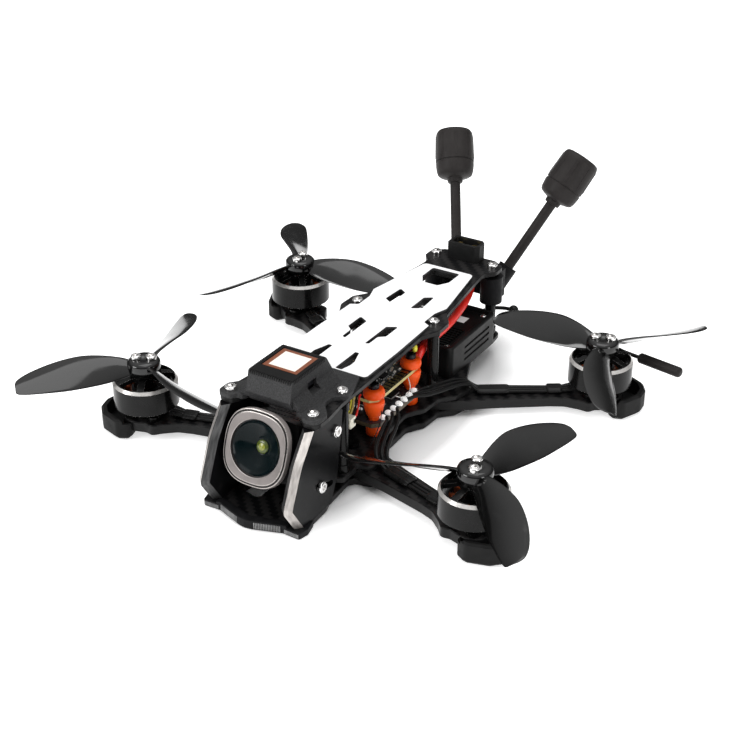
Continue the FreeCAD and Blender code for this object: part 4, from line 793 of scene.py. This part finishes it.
# x and y on the upper board, width, depth and height
CHIPS = [(-2.5, 1.5, 7.0, 7.0, 1.0), (5.5, 7.5, 3.2, 3.2, 0.9), (-7.5, -8.0, 4.0, 3.0, 0.9),
         (3.5, -8.5, 5.0, 6.0, 1.2), (-8.0, 8.0, 3.0, 5.0, 0.9), (8.6, 0.5, 2.4, 4.2, 1.0),
         (8.4, -5.8, 1.6, 2.6, 0.8)]
SOCKETS = [(3.2, 12.8, 9.0, 3.6, 2.6), (-3.0, -13.6, 8.0, 3.2, 2.4)]


def grommet_detail():
    """Collar on the upper board, damper between the boards and spacer under the lower one."""
    shape = bmesh.new()
    collar = [(1.3, 23.75), (3.6, 23.75), (3.85, 24.2), (3.9, 25.0), (3.8, 25.9), (3.5, 26.6), (3.0, 27.0),
              (2.2, 27.1), (1.3, 27.1)]
    damper = [(1.3, 14.7), (1.9, 14.7), (2.0, 16.2), (2.5, 16.4), (2.9, 17.2), (3.35, 18.8), (3.75, 20.6),
              (3.8, 21.6), (3.65, 22.2), (3.3, 22.45), (1.3, 22.45)]
    spacer = [(1.3, 8.6), (2.6, 8.6), (2.85, 9.0), (2.85, 12.4), (2.6, 12.9), (1.3, 12.9)]
    for x, y in BOLTS:
        for profile in (collar, damper, spacer):
            lathe_into(shape, profile, 40, 0, Matrix.Translation((x, y, 0)))
    made = from_bmesh("grommets_detail", shape, [ORANGE], 50.0)
    return on_frame(made, "frame", "orange_rubber", "grommets")


def legs_into(shape, x, y, width, depth, z, pitch=0.8):
    """Rows of tinned legs round a chip."""
    for reach, span, along_x in ((depth / 2, width, True), (width / 2, depth, False)):
        count = int(span / pitch)
        for k in range(count):
            t = (k + 0.5) * span / count - span / 2
            for side in (1, -1):
                spot = (x + t, y + side * reach) if along_x else (x + side * reach, y + t)
                size = (0.32, 0.55, 0.3) if along_x else (0.55, 0.32, 0.3)
                box_into(shape, (*spot, z + 0.16), size, 1)


def small_part_into(shape, x, y, z, turned, body):
    """Chip resistor or capacitor with a bright cap at each end."""
    long, wide = 1.25, 0.65
    turn = math.pi / 2 if turned else 0.0
    box_into(shape, (x, y, z + 0.27), (0.7, wide * 0.96, 0.5), body, turn)
    for side in (1, -1):
        dx, dy = (0, side * long * 0.38) if turned else (side * long * 0.38, 0)
        box_into(shape, (x + dx, y + dy, z + 0.28), (0.34, wide, 0.56), 1, turn)


def controller_detail():
    """Chips, sockets, scattered small parts and edge pads of the upper board."""
    shape = bmesh.new()
    rng = random.Random(11)
    blocked = [(x, y, w / 2 + 1.0, d / 2 + 1.0) for x, y, w, d, _ in CHIPS + SOCKETS]
    blocked += [(x, y - STACK_Y, 4.6, 4.6) for x, y in BOLTS]
    for x, y, w, d, tall in CHIPS:
        box_into(shape, (x, STACK_Y + y, FLIGHT_TOP + tall / 2), (w - 0.5, d - 0.5, tall), 0)
        legs_into(shape, x, STACK_Y + y, w - 0.4, d - 0.4, FLIGHT_TOP)
    for x, y, w, d, tall in SOCKETS:
        box_into(shape, (x, STACK_Y + y, FLIGHT_TOP + tall / 2), (w, d, tall), 4)
        for k in range(6):
            spot = (x - w / 2 + (k + 0.5) * w / 6, STACK_Y + y, FLIGHT_TOP + tall + 0.02)
            box_into(shape, spot, (0.4, d * 0.6, 0.1), 1)
    placed = []
    for _ in range(1600):
        x, y = rng.uniform(-11.2, 11.2), rng.uniform(-15.0, 15.0)
        turned, body = rng.random() < 0.5, rng.choice((0, 2, 2, 4))
        if any(abs(x - bx) < bw and abs(y - by) < bd for bx, by, bw, bd in blocked):
            continue
        if any(abs(x - px) < 1.35 and abs(y - py) < 1.35 for px, py in placed):
            continue
        placed.append((x, y))
        small_part_into(shape, x, STACK_Y + y, FLIGHT_TOP, turned, body)
    pads, span = 8, 14.8
    for k in range(pads):
        y = STACK_Y - span / 2 + k * span / (pads - 1)
        for side in (1, -1):
            box_into(shape, (side * 13.3, y, FLIGHT_TOP + 0.14), (3.0, 1.45, 0.28), 3)
            box_into(shape, (side * 13.3, y + 1.06, FLIGHT_TOP + 0.2), (3.0, 0.4, 0.4), 0)
    made = from_bmesh("controller_parts_detail", shape, [CHIP, TIN, CERAMIC, OLIVE_PAD, PLUG])
    rounded_edges(made, 0.05, 1)
    return on_frame(made, "frame", "chips", "controller_parts")


def speed_detail():
    """Solder beads, power transistors and small parts of the lower board."""
    shape = bmesh.new()
    bead = [(1.35, 0.0), (1.5, 0.4), (1.4, 0.9), (1.05, 1.4), (0.5, 1.7), (0.0, 1.75)]
    bead_scale = Matrix.Diagonal((1.0, 0.74, 0.85, 1.0))
    for y in (*PAD_ROWS[-1], SPARE_PAD_ROW, *PAD_ROWS[1]):
        for side in (1, -1):
            move = Matrix.Translation((side * PAD_X, STACK_Y + y, SPEED_TOP)) @ bead_scale
            lathe_into(shape, bead, 24, 1, move)
    for x in (-9.0, -3.0, 3.0, 9.0):
        for y in (-4.6, 4.6):
            box_into(shape, (x, STACK_Y + y, SPEED_TOP + 0.45), (4.2, 5.0, 0.9), 0)
            box_into(shape, (x, STACK_Y + y, SPEED_TOP + 0.12), (4.6, 5.4, 0.24), 2)
    rng = random.Random(5)
    for _ in range(60):
        x, y = rng.uniform(-12.5, 12.5), rng.choice((-9.6, -8.4, 0.0, 8.6, 9.8)) + rng.uniform(-0.4, 0.4)
        if abs(x) > 7.5 and abs(y) > 7:
            continue
        small_part_into(shape, x, STACK_Y + y, SPEED_TOP, rng.random() < 0.5, 3)
    made = from_bmesh("speed_parts_detail", shape, [CHIP, SOLDER, TIN, CERAMIC], 50.0)
    return on_frame(made, "frame", "solder", "speed_parts")


def capacitor_detail():
    """Sleeved can lying behind the upper board, with its rolled groove, tin top and rubber foot."""
    shape = bmesh.new()
    along = Matrix.Translation((4.5, 9.2, 27.0)) @ Matrix.Rotation(math.radians(-90), 4, "X")
    sleeve = [(3.3, 0.0), (3.9, 0.1), (4.15, 0.5), (4.2, 1.2), (4.15, 1.9), (3.95, 2.2), (4.15, 2.6),
              (4.2, 3.2), (4.2, 14.0), (4.1, 14.6), (3.7, 14.9), (3.5, 14.9)]
    lathe_into(shape, sleeve, 48, 0, along)
    lathe_into(shape, [(3.6, 14.7), (3.5, 15.0), (0.0, 15.0)], 48, 1, along)
    lathe_into(shape, [(3.2, 0.3), (3.1, -0.02), (0.0, -0.02)], 48, 2, along)
    made = from_bmesh("capacitor_detail", shape, [SLEEVE_RED, TIN, CONNECTOR], 40.0)
    return on_frame(made, "frame", "capacitor_sleeve", "capacitor")


grommet_detail()
controller_detail()
speed_detail()
capacitor_detail()


# ---------------------------------------------------------------- wiring

def cables(name, routes, radius, materials, body, slot, *nodes):
    """Several smooth wires as one mesh; each route has its own material, or all have the last."""
    shape = bmesh.new()
    for index, route in enumerate(routes):
        line = cable("wire", route, radius, materials[0], body, slot)
        tube = bpy.data.meshes.new_from_object(line.evaluated_get(bpy.context.evaluated_depsgraph_get()))
        for face in tube.polygons:
            face.material_index = min(index, len(materials) - 1)
        shape.from_mesh(tube)
        bpy.data.objects.remove(line)
        bpy.data.meshes.remove(tube)
    bmesh.ops.remove_doubles(shape, verts=shape.verts, dist=0.0005 * MM)
    return on_frame(from_bmesh(name, shape, materials, 50.0), body, slot, *nodes)


LEAD_R = 1.6
RED_ROUTE = [(6.6, 4.0, 16.4), (8.2, 8.4, 17.2), (10.6, 9.8, 21.0), (11.9, 10.6, 25.0), (12.0, 15.5, 27.3),
             (11.9, 25.0, 26.6), (11.4, 36.0, 27.0), (9.6, 48.0, 27.6), (6.6, 58.5, 27.0),
             (4.0, 65.6, 27.4), (3.2, 68.5, 30.0), (3.2, 68.6, 34.45)]
cable("battery_lead_red_detail", RED_ROUTE, LEAD_R, RED_WIRE, "frame", "wire_red", "battery_lead_red")
cable("battery_lead_black_detail", [(-x, y, z) for x, y, z in RED_ROUTE], LEAD_R, BLACK_WIRE, "frame",
      "wire_black", "battery_lead_black")

WIRE_R = 0.65
LAY = ARM_TOP + WIRE_R + 0.05            # middle of a wire that lies on an arm


def motor_wire(sx, sy, k):
    """Route of wire k from the motor along the arm and up to its pad on the lower board."""
    arm = arm_frame(sx, sy)
    reach, lateral = arm[3], 1.45 * (k - 1)
    order = k if sx > 0 else 2 - k
    rank = order if sy < 0 else 2 - order
    pad_y = STACK_Y + PAD_ROWS[sy][order]
    edge = on_arm(arm, -reach + 1.5 + 1.2 * (rank - 1), 1.1 * lateral, LAY + 5.0)
    return [on_arm(arm, -9.4, 0.9 * lateral, LAY + 0.7), on_arm(arm, -13.5, lateral, LAY + 0.3),
            on_arm(arm, -21.0, lateral, LAY + 0.1), on_arm(arm, -reach + 12.0, lateral, LAY + 0.3),
            on_arm(arm, -reach + 6.0, lateral, LAY + 0.6), edge,
            Vector((sx * (19.6 + 1.5 * (rank - 1)), 0.25 * edge.y + 0.75 * pad_y, 14.6)),
            Vector((sx * 18.6, pad_y + 0.12 * (edge.y - pad_y), 16.0)),
            Vector((sx * 16.8, pad_y, SPEED_TOP + 0.8))]


cables("motor_leads_detail", [motor_wire(sx, sy, k) for sx, sy in PLACES.values() for k in range(3)], WIRE_R,
       [BLACK_WIRE], "frame", "wire_black", "motor_leads")


def sleeve_detail():
    """Shrunk sleeves: the section follows the three wires inside and pinches in at both ends."""
    shape = bmesh.new()
    for sx, sy in PLACES.values():
        arm = arm_frame(sx, sy)
        for near, far in ((14.0, 19.5), (arm[3] - 18.0, arm[3] - 6.0)):
            rings = []
            steps = 14
            for step in range(steps + 1):
                t = step / steps
                pinch = 1.0 - 0.16 * max(0.0, 1 - 7 * min(t, 1 - t)) ** 2
                ring = []
                for j in range(40):
                    a = 2 * math.pi * j / 40
                    across = 2.85 * pinch * math.copysign(abs(math.cos(a)) ** 0.7, math.cos(a))
                    lobes = 0.16 * math.cos(2 * math.pi * across / 1.75)
                    up = 1.2 + (1.05 + lobes) * pinch * math.copysign(abs(math.sin(a)) ** 0.7, math.sin(a))
                    along = -(near + (far - near) * t)
                    ring.append(tuple(on_arm(arm, along, across, ARM_TOP + 0.04 + max(up, 0.0))))
                rings.append(ring)
            rings_into(shape, rings)
    made = from_bmesh("lead_sleeves_detail", shape, [SHRINK], 60.0)
    return on_frame(made, "frame", "sleeve_black", "lead_sleeves")


sleeve_detail()


def plug_detail():
    """Open plug with ribs and gold contacts, and its four wires up to the upper board."""
    shape = bmesh.new()
    for wall_z in (21.1, 23.8):
        box_into(shape, (12.25, -39.9, wall_z), (5.4, 3.4, 1.1), 0)
    for k in range(5):
        box_into(shape, (9.9 + 1.175 * k, -40.1, 22.45), (0.5, 3.6, 2.0), 0)
    box_into(shape, (12.25, -38.9, 22.45), (5.2, 1.2, 2.6), 0)
    for k in range(4):
        box_into(shape, (10.5 + 1.17 * k, -40.6, 22.3), (0.35, 1.4, 0.5), 1)
    made = from_bmesh("camera_plug_detail", shape, [PLUG, GOLD])
    rounded_edges(made, 0.12, 1)
    on_frame(made, "frame", "plug_white", "camera_plug")
    routes = [[(10.55 + 1.1 * k, -38.15, 22.6), (10.4 + 1.1 * k, -36.0, 22.7),
               (9.6 + k, -33.0, 23.6 + 0.15 * k), (8.2 + k, -30.2, 24.6), (7.0 + k, -28.0, 25.6),
               (6.4 + k, -26.2, 24.9)] for k in range(4)]
    return cables("camera_plug_wires", routes, 0.35, [YELLOW, PALE_WIRE, BLACK_WIRE, RED_WIRE], "frame",
                  "wire_black")


plug_detail()
cables("signal_wires", [
    [(14.4, -20.6, 21.0), (16.8, -23.8, 18.6), (17.8, -28.2, 14.2), (17.0, -32.4, 9.6)],
    [(14.6, -2.6, 22.3), (16.9, -3.6, 19.6), (16.9, -6.6, 17.2), (15.4, -9.0, 16.9), (14.6, -10.8, 18.4)],
    [(12.3, 4.0, 24.0), (12.6, 5.0, 26.4), (12.7, 5.6, 28.6)]], 0.16, [BLACK_WIRE, TIN, BLACK_WIRE],
       "frame", "wire_black")


def marker_detail():
    """Yellow bead at the end of the last signal wire, behind the rear left mount."""
    shape = bmesh.new()
    bead = [(0.3, 28.2), (0.8, 28.5), (0.95, 29.2), (0.9, 30.4), (0.5, 31.0), (0.0, 31.1)]
    lathe_into(shape, bead, 20, 0, Matrix.Translation((12.75, 5.6, 0)))
    return on_frame(from_bmesh("marker_bead", shape, [YELLOW], 50.0), "frame", "plug_white")


marker_detail()


# ---------------------------------------------------------------- tail

def transmitter_trim():
    """Cooling ribs, screws and plain printed bars in the lid of the transmitter."""
    shape = bmesh.new()
    recess = 1.6
    floor_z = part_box("vtx_case")[1].z / MM - recess
    for k in range(9):
        box_into(shape, (0, 29.5 + 1.7 * k, floor_z + 0.45), (26.0, 0.8, 0.9), 0)
    for x, y, w, d in ((-8.5, 50.0, 9.0, 0.7), (-8.5, 52.0, 6.0, 0.7), (-8.5, 54.0, 7.5, 0.7),
                       (6.0, 52.0, 7.0, 4.6)):
        box_into(shape, (x, y, floor_z + 0.02), (w, d, 0.06), 1)
    head = [(1.4, 0.0), (1.4, 0.5), (1.1, 0.8), (0.5, 0.8), (0.45, 0.3), (0.0, 0.3)]
    for x in (-13.5, 13.5):
        for y in (28.8, 58.6):
            lathe_into(shape, head, 24, 2, Matrix.Translation((x, y, floor_z)))
    return on_frame(from_bmesh("vtx_trim", shape, [VTX_BLACK, INK, STEEL]), "frame", "vtx_metal")


STEM_ROOT, STEM_AIM, STEM_LENGTH = (11.4, 81.9, 30.5), (0.424, 0.667, 1.0), 30.7      # left side


def antenna_cap_detail():
    """Two caps with a neck, a seam and eight shallow ribs, each at the end of its slanting stem."""
    shape = bmesh.new()
    profile = [(2.3, 0.0), (2.9, 0.05), (3.1, 0.4), (3.2, 1.7), (4.2, 2.0), (6.2, 2.6), (7.0, 3.2),
               (7.5, 4.6), (7.8, 7.2), (7.8, 8.2), (7.55, 8.3), (7.55, 8.7), (7.85, 8.8), (7.9, 9.4),
               (7.6, 19.8), (7.35, 20.9), (6.8, 21.7), (5.6, 22.1), (3.0, 22.35), (0.0, 22.4)]
    rib_section = ((-0.4, -0.55), (0.16, -0.4), (0.16, 0.4), (-0.4, 0.55))
    rib_ends = ((7.85, 10.2), (7.6, 19.6))
    ribs = 8
    aim_left = Vector(STEM_AIM).normalized()
    for side in (1, -1):
        aim = Vector((side * aim_left.x, aim_left.y, aim_left.z))
        base = Vector((side * STEM_ROOT[0], *STEM_ROOT[1:])) + aim * STEM_LENGTH
        move = Matrix.Translation(base) @ aim.to_track_quat("Z", "Y").to_matrix().to_4x4()
        lathe_into(shape, profile, 64, 0, move)
        for k in range(ribs):
            turn = Matrix.Rotation(math.radians(360 / ribs * k), 4, "Z")
            rings_into(shape, [[tuple(move @ turn @ Vector((r + dr, w, z))) for dr, w in rib_section]
                               for r, z in rib_ends])
    made = from_bmesh("video_antenna_caps_detail", shape, [ANTENNA], 40.0)
    return on_frame(made, "frame", "antenna_grey", "video_antenna_caps")


transmitter_trim()
antenna_cap_detail()


# ---------------------------------------------------------------- studio

# The floor glows a little, but not inside an oval under the body: a painted shadow, so that the floor seen
# through the body's openings stays dark.
FLOOR_SIZE_M, FLOOR_Z_M, FLOOR_GLOW = 60.0, -0.0002, 0.62
SHADOW_HALF_X_M, SHADOW_HALF_Y_M = 0.035, 0.088

floor_kit = Kit("floor_white", (0.93, 0.93, 0.93), 0.7)
floor_kit.set("Emission Color", (1.0, 1.0, 1.0, 1))
across, along, _ = floor_kit.xyz(floor_kit.spot)
across = floor_kit.math("POWER", floor_kit.math("DIVIDE", across, SHADOW_HALF_X_M), 2.0)
along = floor_kit.math("POWER", floor_kit.math("DIVIDE", along, SHADOW_HALF_Y_M), 2.0)
reach = floor_kit.math("SQRT", floor_kit.math("ADD", across, along))
floor_kit.set("Emission Strength", floor_kit.node("ShaderNodeMapRange", reach, 0.85, 1.1, 0.0, FLOOR_GLOW))
floor_kit.bump(floor_kit.noise(40.0), 0.02, 0.1)
bpy.ops.mesh.primitive_plane_add(size=FLOOR_SIZE_M, location=(0, 0, FLOOR_Z_M))
floor = bpy.context.object
floor.name = "studio_floor"
floor.data.materials.append(floor_kit.made)

# The sky brightens towards its top; behind the object it shows as plain white.
HORIZON, TOP = (0.15, 0.10), (1.0, 1.1)        # height on the sky and strength there

world = bpy.data.worlds.new("studio")
world.use_nodes = True
sky = world.node_tree
height = sky.nodes.new("ShaderNodeSeparateXYZ")
sky.links.new(sky.nodes.new("ShaderNodeTexCoord").outputs["Generated"], height.inputs[0])
glow = sky.nodes.new("ShaderNodeMapRange")
glow.interpolation_type = "SMOOTHSTEP"
for socket, value in zip(glow.inputs[1:5], (HORIZON[0], TOP[0], HORIZON[1], TOP[1])):
    socket.default_value = value
sky.links.new(height.outputs[2], glow.inputs[0])
backdrop = sky.nodes.new("ShaderNodeMath")
backdrop.operation = "MAXIMUM"
sky.links.new(glow.outputs[0], backdrop.inputs[0])
sky.links.new(sky.nodes.new("ShaderNodeLightPath").outputs["Is Camera Ray"], backdrop.inputs[1])
sky.links.new(backdrop.outputs[0], sky.nodes["Background"].inputs["Strength"])
sky.nodes["Background"].inputs["Color"].default_value = (1.0, 1.0, 1.0, 1)
scene.world = world
scene.view_settings.view_transform = "Standard"


def area_light(name, spot, target, size, watts):
    """Rectangular light; its places and size are in metres."""
    data = bpy.data.lights.new(name, "AREA")
    data.shape = "RECTANGLE"
    data.size, data.size_y = size
    data.energy = watts
    made = bpy.data.objects.new(name, data)
    made.location = spot
    made.rotation_mode = "QUATERNION"
    made.rotation_quaternion = (Vector(target) - Vector(spot)).to_track_quat("-Z", "Y")
    scene.collection.objects.link(made)


area_light("overhead", (0.0, 0.1, 1.6), (0, 0, 0), (1.2, 1.2), 10.0)
area_light("front_left", (-0.6, -0.9, 0.55), (0, 0, 0.03), (0.5, 0.5), 6.5)
area_light("right", (1.0, -0.35, 0.35), (0, 0, 0.03), (0.25, 0.6), 3.0)

LENS_MM, SENSOR_MM = 70.32, 36.0
CAMERA_SPOT = Vector((236.91, -394.58, 276.83)) * MM
AZIMUTH, ELEVATION, ROLL = (math.radians(a) for a in (31.27, 29.21, 0.2))
back = Vector((math.sin(AZIMUTH) * math.cos(ELEVATION), -math.cos(AZIMUTH) * math.cos(ELEVATION),
               math.sin(ELEVATION)))
right = Vector((math.cos(AZIMUTH), math.sin(AZIMUTH), 0))
up = back.cross(right)
turned_right = right * math.cos(ROLL) + up * math.sin(ROLL)
lens_data = bpy.data.cameras.new("view")
lens_data.lens, lens_data.sensor_width = LENS_MM, SENSOR_MM
lens_data.clip_start, lens_data.clip_end = 0.01, 100.0
viewer = bpy.data.objects.new("view", lens_data)
viewer.matrix_world = Matrix.Translation(CAMERA_SPOT) @ Matrix(
    (turned_right, back.cross(turned_right), back)).transposed().to_4x4()
scene.collection.objects.link(viewer)
scene.camera = viewer
